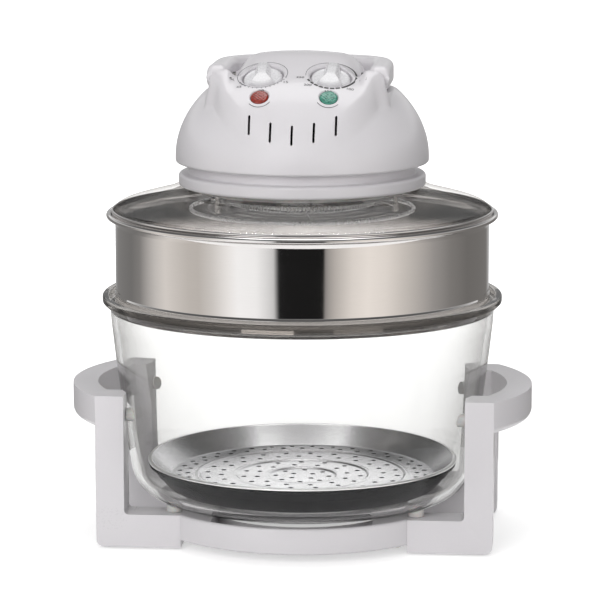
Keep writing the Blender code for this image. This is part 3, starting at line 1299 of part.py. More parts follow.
def make_rotor_group(parts, cutters, looks):
    fan_top = REFLECTOR_TOP - SHIELD_THICKNESS - HOT_FAN_DROP
    fan_bottom = fan_top - HOT_FAN_HEIGHT
    shaft = rod(
        "motor_shaft", (0, 0, fan_bottom - SHAFT_BELOW_FAN), (0, 0, BEARING_TOP + SHAFT_ABOVE_BEARING),
        SHAFT_RADIUS, looks["steel"], parts,
    )
    bore = SHAFT_RADIUS + FIT_GAP
    rotor_outline = [
        (bore, STATOR_TOP - FIT_GAP), (ROTOR_RADIUS, STATOR_TOP - FIT_GAP),
        (ROTOR_RADIUS, STATOR_BOTTOM + FIT_GAP), (bore, STATOR_BOTTOM + FIT_GAP),
    ]
    rotor = turned("motor_rotor", rotor_outline, looks["core"], parts, SMALL_TURN_STEPS)
    hot = make_fan("hot_air_fan", fan_bottom, HOT_FAN_HEIGHT, HOT_FAN_RADIUS, parts, cutters, looks["bright"])
    cool = make_fan(
        "cooling_fan", SHIELD_TOP + COOL_FAN_LIFT, COOL_FAN_HEIGHT, COOL_FAN_RADIUS, parts, cutters, looks["steel"],
    )
    return [shaft, rotor, hot, cool]


def make_looks():
    return {
        "white": new_material("white_plastic", (0.82, 0.82, 0.84), 0.35),
        "knob": new_material("knob_plastic", (0.86, 0.86, 0.87), 0.3),
        "glass": new_material("clear_glass", (0.95, 0.97, 0.97), 0.03, transmission=1.0),
        "steel": new_material("polished_steel", (0.62, 0.60, 0.58), 0.18, 1.0),
        "bright": new_material("bright_tinplate", (0.80, 0.80, 0.81), 0.22, 1.0),
        "dark": new_material("dark_enamel", (0.05, 0.05, 0.06), 0.3),
        "rubber": new_material("foot_rubber", (0.25, 0.25, 0.25), 0.8),
        "silicone": new_material("pale_silicone", (0.78, 0.78, 0.74), 0.55),
        "ceramic": new_material("white_ceramic", (0.85, 0.84, 0.80), 0.5),
        "tube": new_material("tube_glass", (0.90, 0.88, 0.84), 0.1),
        "black": new_material("black_plastic", (0.03, 0.03, 0.03), 0.45),
        "core": new_material("core_steel", (0.30, 0.30, 0.32), 0.4, 1.0),
        "copper": new_material("coil_copper", (0.60, 0.28, 0.14), 0.35, 1.0),
        "red": new_material("red_lens", (0.60, 0.05, 0.03), 0.15),
        "green": new_material("green_lens", (0.05, 0.45, 0.30), 0.15),
    }


def add_body(name, place, pieces, parts):
    """An empty on the body's joint axis that carries its pieces."""
    empty = bpy.data.objects.new(name, None)
    parts.objects.link(empty)
    empty.location = place
    for piece in pieces:
        piece.parent = empty
        piece.matrix_parent_inverse = Matrix.Translation(-Vector(place))
        if piece.type == "MESH" and len(piece.data.polygons):
            shade_round(piece)


def main():
    clear_scene()
    parts = new_collection("halogen_oven")
    cutters = new_collection("cutters")
    looks = make_looks()
    add_body("base", (0, 0, 0), make_base(parts, cutters, looks), parts)
    add_body("bowl", (0, 0, BOWL_BOTTOM), [make_bowl(parts, looks)], parts)
    add_body("pan", (0, 0, PAN_BOTTOM), [make_drip_pan(parts, looks)], parts)
    add_body("tray", (0, 0, TRAY_SEAT), [make_tray(parts, cutters, looks)], parts)
    add_body("ring", (0, 0, RING_SEAT), [make_extension_ring(parts, looks)], parts)
    lid = make_lid(parts, looks) + make_heater(parts, cutters, looks)
    lid += [make_lower_housing(parts, looks), make_upper_housing(parts, cutters, looks)]
    lid += make_handle_pins(parts, looks) + make_controls(parts, cutters, looks) + make_motor(parts, cutters, looks)
    add_body("lid", (0, 0, LID_SEAT), lid, parts)
    pivot = (0, -HANDLE_PIVOT, HANDLE_PIVOT_HEIGHT)
    add_body("handle", pivot, [make_handle(parts, cutters, looks)], parts)
    timer = make_knob("timer_knob", -1, parts, cutters, looks)
    thermostat = make_knob("thermostat_knob", 1, parts, cutters, looks)
    add_body("timer_dial", dial_frame(-1).translation, [timer], parts)
    add_body("thermostat_dial", dial_frame(1).translation, [thermostat], parts)
    add_body("fans", (0, 0, STATOR_BOTTOM), make_rotor_group(parts, cutters, looks), parts)
    plunger = make_plunger(parts, looks)
    add_body("plunger", plunger.location[:], [plunger], parts)


main()
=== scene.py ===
# Looks for the countertop halogen oven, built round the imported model. Metres, +Z up, front is -Y.
import json
import math

import bmesh
import bpy
from mathutils import Matrix, Vector


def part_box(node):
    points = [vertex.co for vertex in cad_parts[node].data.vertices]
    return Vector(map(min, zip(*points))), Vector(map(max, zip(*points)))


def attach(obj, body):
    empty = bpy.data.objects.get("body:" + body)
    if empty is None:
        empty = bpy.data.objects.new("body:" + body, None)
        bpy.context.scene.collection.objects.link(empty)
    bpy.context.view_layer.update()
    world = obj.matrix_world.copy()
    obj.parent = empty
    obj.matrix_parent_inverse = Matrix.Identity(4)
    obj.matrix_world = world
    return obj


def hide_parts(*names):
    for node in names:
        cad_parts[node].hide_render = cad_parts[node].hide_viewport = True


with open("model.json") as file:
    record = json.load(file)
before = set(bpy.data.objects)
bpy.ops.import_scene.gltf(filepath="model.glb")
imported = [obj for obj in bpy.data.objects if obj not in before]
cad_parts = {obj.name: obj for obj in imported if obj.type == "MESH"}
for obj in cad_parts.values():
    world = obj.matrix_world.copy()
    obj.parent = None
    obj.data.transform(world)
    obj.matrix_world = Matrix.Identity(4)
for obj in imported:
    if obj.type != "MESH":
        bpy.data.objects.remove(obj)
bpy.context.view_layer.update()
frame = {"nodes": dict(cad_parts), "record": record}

mm = 0.001


class Shape(dict):  # a piece's values, read by their names, with the lengths given in millimetres
    __getattr__, __setattr__ = dict.__getitem__, dict.__setitem__

    def __init__(self, lengths=(), **others):
        super().__init__({key: length * mm for key, length in dict(lengths).items()}, **others)


# shapes: outlines are lists of (radius, height) or (x, y), where a third value rounds the corner, in millimetres
def roundCorners(points, closed=False, step=14):
    made = []
    count = len(points)
    for index, point in enumerate(points):
        here = Vector(point[:2])
        wanted = point[2] * mm if len(point) > 2 else 0
        if wanted <= 0 or (not closed and index in (0, count - 1)):
            made.append(tuple(here))
            continue
        before, after = Vector(points[index - 1][:2]), Vector(points[(index + 1) % count][:2])
        back, ahead = (before - here).normalized(), (after - here).normalized()
        half = back.angle(ahead) / 2
        if half < 0.02 or half > math.pi / 2 - 0.02:
            made.append(tuple(here))
            continue
        cutBack = min(wanted / math.tan(half), (before - here).length * 0.49, (after - here).length * 0.49)
        radius = cutBack * math.tan(half)
        centre = here + (back + ahead).normalized() * (radius / math.sin(half))
        start, end = here + back * cutBack - centre, here + ahead * cutBack - centre
        sweep = start.angle_signed(end)  # clockwise is positive
        steps = max(2, math.ceil(abs(math.degrees(sweep)) / step))
        for part in range(steps + 1):
            turn = Matrix.Rotation(-sweep * part / steps, 2)
            made.append(tuple(centre + turn @ start))
    return made


def polar(radius, angle, *height):
    return (radius * math.cos(angle), radius * math.sin(angle), *height)


def arcPoints(centre, radius, fromDeg, toDeg, steps):
    made = []
    for index in range(steps + 1):
        x, y = polar(radius, math.radians(fromDeg + (toDeg - fromDeg) * index / steps))
        made.append((centre[0] + x, centre[1] + y))
    return made


def bendPoints(start, pull, end, steps):  # a curve from start to end, bent towards pull
    made = []
    for index in range(steps + 1):
        t = index / steps
        made.append(tuple((1 - t) ** 2 * a + 2 * t * (1 - t) * b + t * t * c for a, b, c in zip(start, pull, end)))
    return made


def smoothLine(points, steps):  # a curve through all the points
    made = [points[0]]
    for index in range(len(points) - 1):
        p0, p1, p2 = points[max(index - 1, 0)], points[index], points[index + 1]
        p3 = points[min(index + 2, len(points) - 1)]
        for part in range(1, steps + 1):
            t = part / steps
            made.append(tuple(
                0.5 * (2 * b + (c - a) * t + (2 * a - 5 * b + 4 * c - d) * t * t + (3 * b - a - 3 * c + d) * t ** 3)
                for a, b, c, d in zip(p0, p1, p2, p3)
            ))
    return made


def newPiece(name, verts, faces, paint, sharp=34):
    mesh = bpy.data.meshes.new(name)
    mesh.from_pydata([tuple(v) for v in verts], [], faces)
    shape = bmesh.new()
    shape.from_mesh(mesh)
    bmesh.ops.remove_doubles(shape, verts=shape.verts, dist=1e-6)
    bmesh.ops.recalc_face_normals(shape, faces=shape.faces)
    shape.to_mesh(mesh)
    shape.free()
    piece = bpy.data.objects.new(name, mesh)
    bpy.context.scene.collection.objects.link(piece)
    if paint is not None:
        mesh.materials.append(paint)
    soften(piece, sharp)
    return piece


def soften(piece, sharp=34):
    piece.data.shade_smooth()
    piece.data.set_sharp_from_angle(angle=math.radians(sharp))


def loft(name, loops, paint=None, sharp=34, ring=False, caps=True):  # joins loops of points, a single point is a pole
    verts, faces, numbers = [], [], []
    for loop in loops:
        numbers.append(range(len(verts), len(verts) + len(loop)))
        verts += loop
    count = max(len(loop) for loop in loops)
    for lower, upper in list(zip(numbers, numbers[1:])) + ([(numbers[-1], numbers[0])] if ring else []):
        for index in range(count):
            after = (index + 1) % count
            corners = [lower[index % len(lower)], lower[after % len(lower)]]
            corners += [upper[after % len(upper)], upper[index % len(upper)]]
            corners = list(dict.fromkeys(corners))
            if len(corners) > 2:
                faces.append(corners)
    if caps and not ring:
        faces += [tuple(loop) for loop in (numbers[0], numbers[-1]) if len(loop) > 1]
    return newPiece(name, verts, faces, paint, sharp)


def lathe(name, outline, paint=None, segments=144, closed=True):
    loops = []
    for radius, height in outline:
        turns = segments if radius > 1e-6 else 1
        loops.append([polar(radius, math.tau * index / turns, height) for index in range(turns)])
    return loft(name, loops, paint, ring=closed, caps=False)


def pipe(name, path, radius, paint, sides=10, closed=False):
    path = [Vector(point) for point in path]
    circle = [polar(radius, math.tau * turn / sides) for turn in range(sides)]
    loops = []
    for index, point in enumerate(path):
        before = path[index - 1] if closed or index else point
        after = path[(index + 1) % len(path)] if closed or index < len(path) - 1 else point
        along = (after - before).normalized()
        side = along.cross(Vector((0, 0, 1)))
        side = side.normalized() if side.length > 0.05 else Vector((1, 0, 0))
        lift = side.cross(along).normalized()
        loops.append([point + side * across + lift * up for across, up in circle])
    return loft(name, loops, paint, 50, ring=closed)


def slab(name, outline, low, high, paint=None, plane="XY"):
    count = len(outline)
    verts = [(a, b, level) if plane == "XY" else (a, level, b) for level in (low, high) for a, b in outline]
    faces = [tuple(range(count)), tuple(range(count, 2 * count))]
    for index in range(count):
        after = (index + 1) % count
        faces.append((index, after, count + after, count + index))
    return newPiece(name, verts, faces, paint)


def settle(piece, sharp=34):  # the modifiers become part of the mesh
    bpy.context.view_layer.update()
    graph = bpy.context.evaluated_depsgraph_get()
    mesh = bpy.data.meshes.new_from_object(piece.evaluated_get(graph))
    old = piece.data
    piece.modifiers.clear()
    piece.data = mesh
    bpy.data.meshes.remove(old)
    soften(piece, sharp)
    return piece


def combine(piece, others, operation, sharp=34):
    for other in others:
        step = piece.modifiers.new("step", "BOOLEAN")
        step.operation, step.solver, step.object = operation, "EXACT", other
        if other.data.materials:
            step.material_mode = "TRANSFER"
    settle(piece, sharp)
    for other in others:
        drop(other)
    return piece


def drop(piece):
    mesh = piece.data
    bpy.data.objects.remove(piece, do_unlink=True)
    bpy.data.meshes.remove(mesh)


def roundEdges(piece, width, segments, angle, weigh=None):  # weigh: share of the width at a spot
    step = piece.modifiers.new("round", "BEVEL")
    step.width, step.segments, step.limit_method = width, segments, "WEIGHT" if weigh else "ANGLE"
    step.angle_limit = math.radians(angle)
    if weigh:
        shape = bmesh.new()
        shape.from_mesh(piece.data)
        layer = shape.edges.layers.float.new("bevel_weight_edge")
        for edge in shape.edges:
            if len(edge.link_faces) == 2 and edge.calc_face_angle() > math.radians(angle):
                edge[layer] = weigh((edge.verts[0].co + edge.verts[1].co) / 2)
        shape.to_mesh(piece.data)
        shape.free()
    return settle(piece)


def place(piece, matrix):
    piece.data.transform(matrix)
    return piece


def turned(degrees, axis="Z"):
    return Matrix.Rotation(math.radians(degrees), 4, axis)


def wear(piece, body, slotName, *nodes):
    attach(piece, body)
    if nodes:
        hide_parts(*nodes)
    return piece


# paint: a socket that can be used in sums, and one method that adds any other node
class Wire:
    def __init__(self, paint, socket):
        self.paint, self.socket = paint, socket

    def sum(self, operation, first, second):
        return self.paint.add("Math", {"operation": operation}, {0: first, 1: second})

    def __add__(self, other): return self.sum("ADD", self, other)
    def __radd__(self, other): return self.sum("ADD", other, self)
    def __sub__(self, other): return self.sum("SUBTRACT", self, other)
    def __rsub__(self, other): return self.sum("SUBTRACT", other, self)
    def __mul__(self, other): return self.sum("MULTIPLY", self, other)
    def __rmul__(self, other): return self.sum("MULTIPLY", other, self)
    def __truediv__(self, other): return self.sum("DIVIDE", self, other)
    def __pow__(self, other): return self.sum("POWER", self, other)


class Paint:
    def __init__(self, name, world=None):
        self.owner = world or bpy.data.materials.new(name)
        self.owner.use_nodes = True
        self.tree = self.owner.node_tree
        self.tree.nodes.clear()

    def add(self, kind, settings=None, values=None, output=0):
        node = self.tree.nodes.new("ShaderNode" + kind)
        for key, value in (settings or {}).items():
            if key == "stops":
                while len(node.color_ramp.elements) < len(value):
                    node.color_ramp.elements.new(0.5)
                for element, (position, tone) in zip(node.color_ramp.elements, value):
                    element.position, element.color = position, (*tone, 1)
            else:
                setattr(node, key, value)
        for key, value in (values or {}).items():
            if isinstance(value, Wire):
                self.tree.links.new(value.socket, node.inputs[key])
            else:
                node.inputs[key].default_value = (*value, 1) if node.inputs[key].type == "RGBA" else value
        return Wire(self, node.outputs[output])

    def clamp(self, value, low=0.0, high=1.0, toLow=0.0, toHigh=1.0):
        return self.add("MapRange", {"clamp": True}, {
            "Value": value, "From Min": low, "From Max": high, "To Min": toLow, "To Max": toHigh})

    def blend(self, factor, first, second):  # two colours
        return self.add("Mix", {"data_type": "RGBA"}, {0: factor, 6: first, 7: second}, output=2)

    def spot(self):
        return self.add("TexCoord", output=3)

    def noise(self, scale, detail=3, roughness=0.5, stretch=None):
        where = self.spot()
        if stretch:
            where = self.add("Mapping", {}, {"Vector": where, "Scale": stretch})
        return self.add("TexNoise", {}, {
            "Vector": where, "Scale": scale, "Detail": detail, "Roughness": roughness})

    def part(self, vector, index):  # 0, 1 or 2 for x, y or z
        return self.add("SeparateXYZ", {}, {0: vector}, index)

    def ray(self, *kinds):  # 1 for a ray of any of these kinds
        found = [self.add("LightPath", output="Is %s Ray" % kind) for kind in kinds]
        return self.clamp(sum(found[1:], found[0]))

    def bump(self, height, distance, strength=1.0):
        return self.add("Bump", {}, {"Height": height, "Distance": distance, "Strength": strength})

    def surface(self, **values):
        return self.add("BsdfPrincipled", {}, {key.replace("_", " "): value for key, value in values.items()})

    def finish(self, shader, kind="Material"):
        node = self.tree.nodes.new("ShaderNodeOutput" + kind)
        self.tree.links.new(shader.socket, node.inputs["Surface"])
        return self.owner


def makePlastic(name, tint, deep, gloss, peel, coat=0.25):
    paint = Paint(name)
    broad = paint.clamp(paint.noise(9, 2), 0.3, 0.7)
    fine = paint.noise(620, 2)
    grain = paint.noise(2600, 1)
    tone = paint.blend(broad * 0.6 + paint.clamp(fine, 0.35, 0.65) * 0.15, tint, deep)
    shine = gloss + broad * 0.06 + paint.clamp(fine, 0.4, 0.8) * 0.05
    relief = paint.bump(fine * 0.7 + grain * 0.3, peel, 0.6)
    return paint.finish(paint.surface(
        Base_Color=tone, Roughness=shine, Normal=relief, IOR=1.5, Coat_Weight=coat, Coat_Roughness=0.12))


def makeGlass(name, tint, edge, smear=0.03, power=3.0, bend=1.47, gloss=0.0, thin=0.0, rim=None):
    paint = Paint(name)
    haze = paint.clamp(paint.noise(14, 4, 0.6), 0.45, 0.75)
    # painted shade: the glass colour turns towards edge where the glass is seen at a grazing angle, standing in for
    # the dark edges that refraction gives
    side = paint.add("LayerWeight", {}, {"Blend": 0.5}, "Facing") ** power
    tone = paint.blend(paint.clamp(side + haze * 0.02), tint, edge)
    if rim:  # painted reflection: between the two heights given the bowl is painted dark brown, standing in for the dark ring mirrored in its flange
        tone = paint.blend(paint.clamp(paint.part(paint.spot(), 2), *rim) * 0.78, tone, (0.17, 0.155, 0.14))
    body = paint.surface(
        Base_Color=tone, Roughness=haze * smear, IOR=bend, Transmission_Weight=1.0,
        Coat_Weight=gloss, Coat_Roughness=0.015, Coat_IOR=1.4,
        Normal=paint.bump(paint.noise(11, 2), 0.0003, 0.2))
    apart = paint.ray("Shadow", "Diffuse")
    # camera rays see the painted edge shade and the painted rim reflection through the clear share as well; lamp and
    # bounce rays take a plain tint
    clear = paint.add("BsdfTransparent", {}, {"Color": paint.blend(apart, tone, (0.94, 0.94, 0.935))})
    return paint.finish(paint.add("MixShader", {}, {0: paint.clamp(apart, toLow=thin), 1: body, 2: clear}))


def makeMetal(name, tint, deep, rough, scale, line, streak=0.08, mottled=0.0, stretch=None):
    paint = Paint(name)
    lines = paint.noise(scale, 4, 0.65, stretch)
    streaks = paint.clamp(lines, 0.3, 0.7)
    broad = paint.clamp(paint.noise(22, 3), 0.35, 0.7)
    return paint.finish(paint.surface(
        Base_Color=paint.blend(streaks * 0.5 + broad * (0.3 + mottled), tint, deep), Metallic=1.0,
        Roughness=rough + streaks * streak + broad * 0.05, Normal=paint.bump(lines, line, 0.5)))


def makeMatte(name, tint, deep, rough, scale, depth, gloss=0.5, soft=0.0):
    paint = Paint(name)
    grain = paint.noise(scale, 4, 0.6)
    broad = paint.clamp(paint.noise(30, 3), 0.3, 0.7)
    tone = paint.blend(paint.clamp(grain, 0.3, 0.7) * 0.6 + broad * 0.4, tint, deep)
    return paint.finish(paint.surface(
        Base_Color=tone, Roughness=rough + broad * 0.1, Normal=paint.bump(grain, depth, 0.7),
        Specular_IOR_Level=gloss, Subsurface_Weight=soft, Subsurface_Scale=0.002))


def makeLens(name, tint, deep):
    paint = Paint(name)
    cells = paint.add("TexVoronoi", {"feature": "F1"}, {"Vector": paint.spot(), "Scale": 520.0})
    spark = paint.clamp(cells, 0.1, 0.55)
    return paint.finish(paint.surface(
        Base_Color=paint.blend(spark, tint, deep), Roughness=0.12 + spark * 0.15,
        Normal=paint.bump(1 - cells, 0.0004, 0.8), Coat_Weight=0.8, Coat_Roughness=0.05, IOR=1.55))


def makeLayers(name, tint, deep, scale, rough):  # level bands, as of sheets or windings
    paint = Paint(name)
    wave = paint.add("TexWave", {"wave_type": "BANDS", "bands_direction": "Z"}, {
        "Vector": paint.spot(), "Scale": scale, "Distortion": 0.6, "Detail": 2.0})
    return paint.finish(paint.surface(
        Base_Color=paint.blend(wave, deep, tint), Roughness=rough + wave * 0.1,
        Metallic=0.9, Normal=paint.bump(wave, 0.0002, 0.8)))


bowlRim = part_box("glass_bowl")[1].z
# heights of the band painted dark at the bowl's flange, a painted reflection of the ring
ringReflectionBand = (bowlRim - 13 * mm, bowlRim - 9 * mm)
looks = {
    "housing": makePlastic("whiteHousing", (0.765, 0.747, 0.772), (0.725, 0.706, 0.732), 0.27, 0.000012),
    "knob": makePlastic("knobPlastic", (0.80, 0.795, 0.81), (0.76, 0.755, 0.775), 0.22, 0.000003, 0.35),
    # clear glass: painted edge shade, and a band of painted reflection at the rim
    "clear_glass": makeGlass(
        "clearGlass", (0.925, 0.925, 0.92), (0.15, 0.145, 0.138), 0.03, 1.9, 1.26, rim=ringReflectionBand),
    "lid_glass": makeGlass("lidGlass", (0.985, 0.982, 0.978), (0.62, 0.61, 0.60), 0.0, 3.0, 1.3, 0.2, 0.9),
    "tube_glass": makeGlass("quartzGlass", (0.95, 0.94, 0.92), (0.4, 0.4, 0.4), 0.08),
    "polished_steel": makeMetal(
        "polishedSteel", (0.74, 0.72, 0.71), (0.70, 0.685, 0.675), 0.035, 60, 0.000003, 0.02, stretch=(1, 1, 45)),
    "wire_steel": makeMetal("wireSteel", (0.72, 0.70, 0.68), (0.58, 0.56, 0.54), 0.14, 240, 0.00001),
    # a dark copy of the wire steel: painted shade for the guard's inner wires
    "painted_shade_wire": makeMetal("paintedShadeWire", (0.30, 0.29, 0.28), (0.18, 0.175, 0.17), 0.12, 240, 0.00001),
    "bright_sheet": makeMetal("brightSheet", (0.84, 0.84, 0.85), (0.72, 0.72, 0.73), 0.2, 420, 0.000014, 0.12),
    "tray_sheet": makeMetal("traySheet", (0.60, 0.60, 0.61), (0.55, 0.55, 0.56), 0.2, 900, 0.0000006, 0.03),
    # a brighter, rougher copy of the tray sheet: a painted highlight for the tray's rolled rim
    "rim_highlight_sheet": makeMetal("rimHighlightSheet", (0.95, 0.95, 0.95), (0.90, 0.90, 0.90), 0.42, 420, 0.000001, 0.05),
    "mirror_sheet": makeMetal("mirrorSheet", (0.36, 0.355, 0.35), (0.12, 0.12, 0.12), 0.10, 70, 0.00003, 0.05, 0.3),
    "dark_pan": makeMatte("darkPan", (0.018, 0.017, 0.020), (0.010, 0.0095, 0.011), 0.5, 900, 0.000001, gloss=0.08),
    "foot_rubber": makeMatte("footRubber", (0.20, 0.20, 0.20), (0.12, 0.12, 0.12), 0.7, 800, 0.00008),
    "pale_silicone": makeMatte(
        "paleSilicone", (0.64, 0.635, 0.62), (0.56, 0.555, 0.54), 0.42, 500, 0.00002, soft=0.2),
    "white_ceramic": makeMatte("whiteCeramic", (0.80, 0.78, 0.73), (0.62, 0.60, 0.55), 0.55, 700, 0.00006),
    "black_plastic": makeMatte("blackPlastic", (0.035, 0.035, 0.037), (0.02, 0.02, 0.021), 0.38, 900, 0.00003),
    "black_ink": makeMatte("blackInk", (0.022, 0.022, 0.024), (0.04, 0.04, 0.042), 0.4, 1500, 0.000003),
    "grey_ink": makeMatte("greyInk", (0.09, 0.09, 0.105), (0.14, 0.14, 0.16), 0.45, 1500, 0.000003),
    "core_steel": makeLayers("coreSteel", (0.34, 0.34, 0.36), (0.12, 0.12, 0.13), 500, 0.35),
    "copper_coil": makeLayers("copperCoil", (0.62, 0.27, 0.12), (0.25, 0.09, 0.04), 380, 0.25),
    "red_lens": makeLens("redLens", (0.11, 0.005, 0.003), (0.30, 0.025, 0.012)),
    "green_lens": makeLens("greenLens", (0.008, 0.09, 0.066), (0.07, 0.30, 0.22)),
}
slotLook = {slot["slot"]: looks[slot["slot"]] for slot in frame["record"]["materials"]}
nodeSlot = {part["node"]: part["material_slot"] for part in frame["record"]["subparts"]}
for nodeName, node in frame["nodes"].items():
    for holder in node.material_slots:
        holder.material = slotLook[nodeSlot[nodeName]]
print("paint: %d materials" % len(looks))

# the heights that the pieces share
stack = Shape(
    railTop=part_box("left_side_frame")[0].z + 27.4 * mm, bowlBottom=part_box("glass_bowl")[0].z,
    bowlTop=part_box("glass_bowl")[1].z, ringSeat=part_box("extension_ring")[0].z, lidSeat=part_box("lid_band")[0].z,
    collarBottom=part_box("lower_housing")[0].z, neckTop=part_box("lower_housing")[1].z,
    domeBottom=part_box("upper_housing")[0].z,
)
stack.domeCentre = stack.domeBottom + 4.5 * mm
stack.deck = stack.domeCentre + 57 * mm

# bowl
bowlShape = Shape(
    dict(
        wall=5.2, floorRadius=104, cornerRadius=144.9, cornerRise=31, topRadius=160, topRise=150.5, belly=0.4,
        bellyDrop=4.9, rimRadius=167.2, rimHeight=5.5, lip=6.0, ledgeDrop=7.5, hollow=1.3),
    pull=0.93,
)


def bowlSide(away, steps=18):  # the bowl's outer side from the flange to the floor, moved out by away
    s = bowlShape
    floor = stack.bowlBottom - away
    corner = (s.cornerRadius + away, stack.bowlBottom + s.cornerRise)
    top = (s.topRadius + away, stack.bowlBottom + s.topRise)
    belly = ((corner[0] + top[0]) / 2 + s.belly, (corner[1] + top[1]) / 2 - s.bellyDrop)
    pull = (s.floorRadius + (corner[0] - s.floorRadius) * s.pull, floor)
    return bendPoints(top, belly, corner, steps)[:-1] + bendPoints(corner, pull, (s.floorRadius, floor), steps)


def makeBowl():
    s = bowlShape
    top, bottom = stack.bowlTop, stack.bowlBottom
    inner = s.topRadius - s.wall
    lipInner = s.rimRadius - s.lip
    ledge = top - s.ledgeDrop
    flangeLow = top - s.rimHeight
    rim = roundCorners([
        (inner, bottom + s.topRise), (inner, ledge, 1.2), (lipInner, ledge, 0.8),
        (lipInner, top, 1.6), (s.rimRadius, top, 1.9), (s.rimRadius, flangeLow, 1.8),
        (s.rimRadius - 3.2 * mm, flangeLow - 3.0 * mm, 2.0),
        (s.topRadius + 0.6 * mm, flangeLow - 6.5 * mm, 3),
        (s.topRadius, bottom + s.topRise),
    ])
    floorRing = roundCorners([
        (s.floorRadius, bottom), (s.floorRadius - 6 * mm, bottom, 0.6),
        (s.floorRadius - 9 * mm, bottom + s.hollow, 1.5), (0, bottom + s.hollow),
    ])
    inside = bowlSide(-s.wall)[::-1]
    outline = [(0, bottom + s.wall)] + inside[:-1] + rim + bowlSide(0)[1:-1] + floorRing
    piece = lathe("glassBowl", outline, looks["clear_glass"], 176, closed=False)
    return wear(piece, "bowl", "clear_glass", "glass_bowl")


makeBowl()
print("bowl done")

# drip pan and tray
panShape = Shape(
    dict(sheet=1.0, floor=104, foot=114.5, footRise=3.2, wallTop=126.6, flange=129.6, height=24.2, step=9.5)
)
trayShape = Shape(
    dict(sheet=0.9, rim=130.2, rimWidth=4.2, skirt=1.7, floor=111.6, depth=15.8, stepDrop=0.9, bead=1.15, hole=2.35),
    steps=(88 * mm, 57 * mm, 30 * mm),
    rows=(  # radius, holes and the share of a step that the row is turned by
        (104.5, 36, 0.0), (97.0, 36, 0.5), (80.5, 24, 0.0), (68.5, 24, 0.5), (49.5, 15, 0.0), (38.5, 12, 0.5),
        (22.5, 8, 0.0), (11.5, 4, 0.5)),
)


def makePan():
    s = panShape
    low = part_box("drip_pan")[0].z
    high = low + s.height
    sheet, step = s.sheet, high - s.step
    outer, inner = s.wallTop - 5.2 * mm, s.wallTop - 3.6 * mm
    outside = roundCorners([
        (0, low), (s.floor, low, 2), (s.foot, low + s.footRise, 2.5),
        (outer, step, 0.7), (inner, step + 0.7 * mm, 0.7),
        (s.wallTop, high - sheet - 0.6 * mm, 1.0), (s.flange - 0.4 * mm, high - sheet - 0.4 * mm, 0.4),
        (s.flange, high - 1.2 * mm, 0.5), (s.flange, high, 0.5),
    ])
    inside = roundCorners([
        (s.flange - 0.6 * mm, high), (s.wallTop - sheet, high, 1.0),
        (inner - sheet, step + 1.2 * mm, 0.7), (outer - sheet, step + 0.6 * mm, 0.6),
        (s.foot - sheet, low + s.footRise + sheet, 2.5), (s.floor, low + sheet, 2), (0, low + sheet),
    ])
    piece = lathe("dripPan", outside + inside, looks["dark_pan"], 144, closed=False)
    return wear(piece, "pan", "dark_pan", "drip_pan")


def makeTray():
    s = trayShape
    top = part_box("perforated_tray")[1].z
    seat = top - s.skirt
    floor = top - s.depth
    sheet = s.sheet

    def floorLine(level):
        line = [(0, level - s.stepDrop * 3)]
        height = level - s.stepDrop * 3
        for radius in reversed(s.steps):
            line += [
                (radius - 2.6 * mm, height, 0.8), (radius - 0.6 * mm, height + s.bead, 0.7),
                (radius + 0.6 * mm, height + s.bead, 0.7),
            ]
            height += s.stepDrop
            line.append((radius + 2.6 * mm, height, 0.8))
        return line

    rimIn = s.rim - s.rimWidth
    upper = floorLine(floor) + [
        (s.floor - 1 * mm, floor, 2.2), (rimIn, top - 1.3 * mm, 1.3), (rimIn + 1.4 * mm, top, 1.1),
        (s.rim - 0.7 * mm, top, 0.7), (s.rim, top - 0.8 * mm, 0.6), (s.rim, seat),
    ]
    lower = floorLine(floor - sheet) + [
        (s.floor - 1 * mm + 0.4 * mm, floor - sheet, 2.6), (rimIn + sheet, top - 1.7 * mm, 0.7),
        (rimIn + 1.7 * mm, top - sheet, 0.6), (s.rim - sheet - 0.3 * mm, top - sheet, 0.3),
        (s.rim - sheet, top - sheet - 0.3 * mm, 0.2), (s.rim - sheet, seat),
    ]
    outline = roundCorners(upper) + roundCorners(lower)[::-1]
    piece = lathe("perforatedTray", outline, looks["tray_sheet"], 160, closed=False)
    sides = 10
    circle = [polar(s.hole, math.tau * turn / sides) for turn in range(sides)]
    verts, faces = [], []
    for radius, count, turn in s.rows:
        for index in range(count):
            x, y = polar(radius * mm, math.tau * (index + turn) / count)
            low, high = ([len(verts) + corner + end for corner in range(sides)] for end in (0, sides))
            for level in (floor - 8 * mm, floor + 5 * mm):
                verts += [(x + u, y + v, level) for u, v in circle]
            faces += [low, high]
            faces += [(low[corner - 1], low[corner], high[corner], high[corner - 1]) for corner in range(sides)]
    # the drill's black plastic passes to the holes' walls: painted shade inside the tray's holes
    drill = newPiece("trayDrill", verts, faces, looks["black_plastic"])
    combine(piece, [drill], "DIFFERENCE")
    # the rolled rim takes the brighter sheet, a painted highlight along it
    piece.data.materials.append(looks["rim_highlight_sheet"])
    highlightIndex = len(piece.data.materials) - 1
    for face in piece.data.polygons:
        if face.center.xy.length > rimIn + 1.2 * mm:
            face.material_index = highlightIndex
    return wear(piece, "tray", "bright_sheet", "perforated_tray")


makePan()
makeTray()
print("pan and tray done")

# extension ring
ringShape = Shape(
    dict(radius=156, sheet=1.1, skirt=8.5, crease=1.3, wallHeight=67.7, ledgeHeight=72.2, top=163.5, bead=2.1)
)


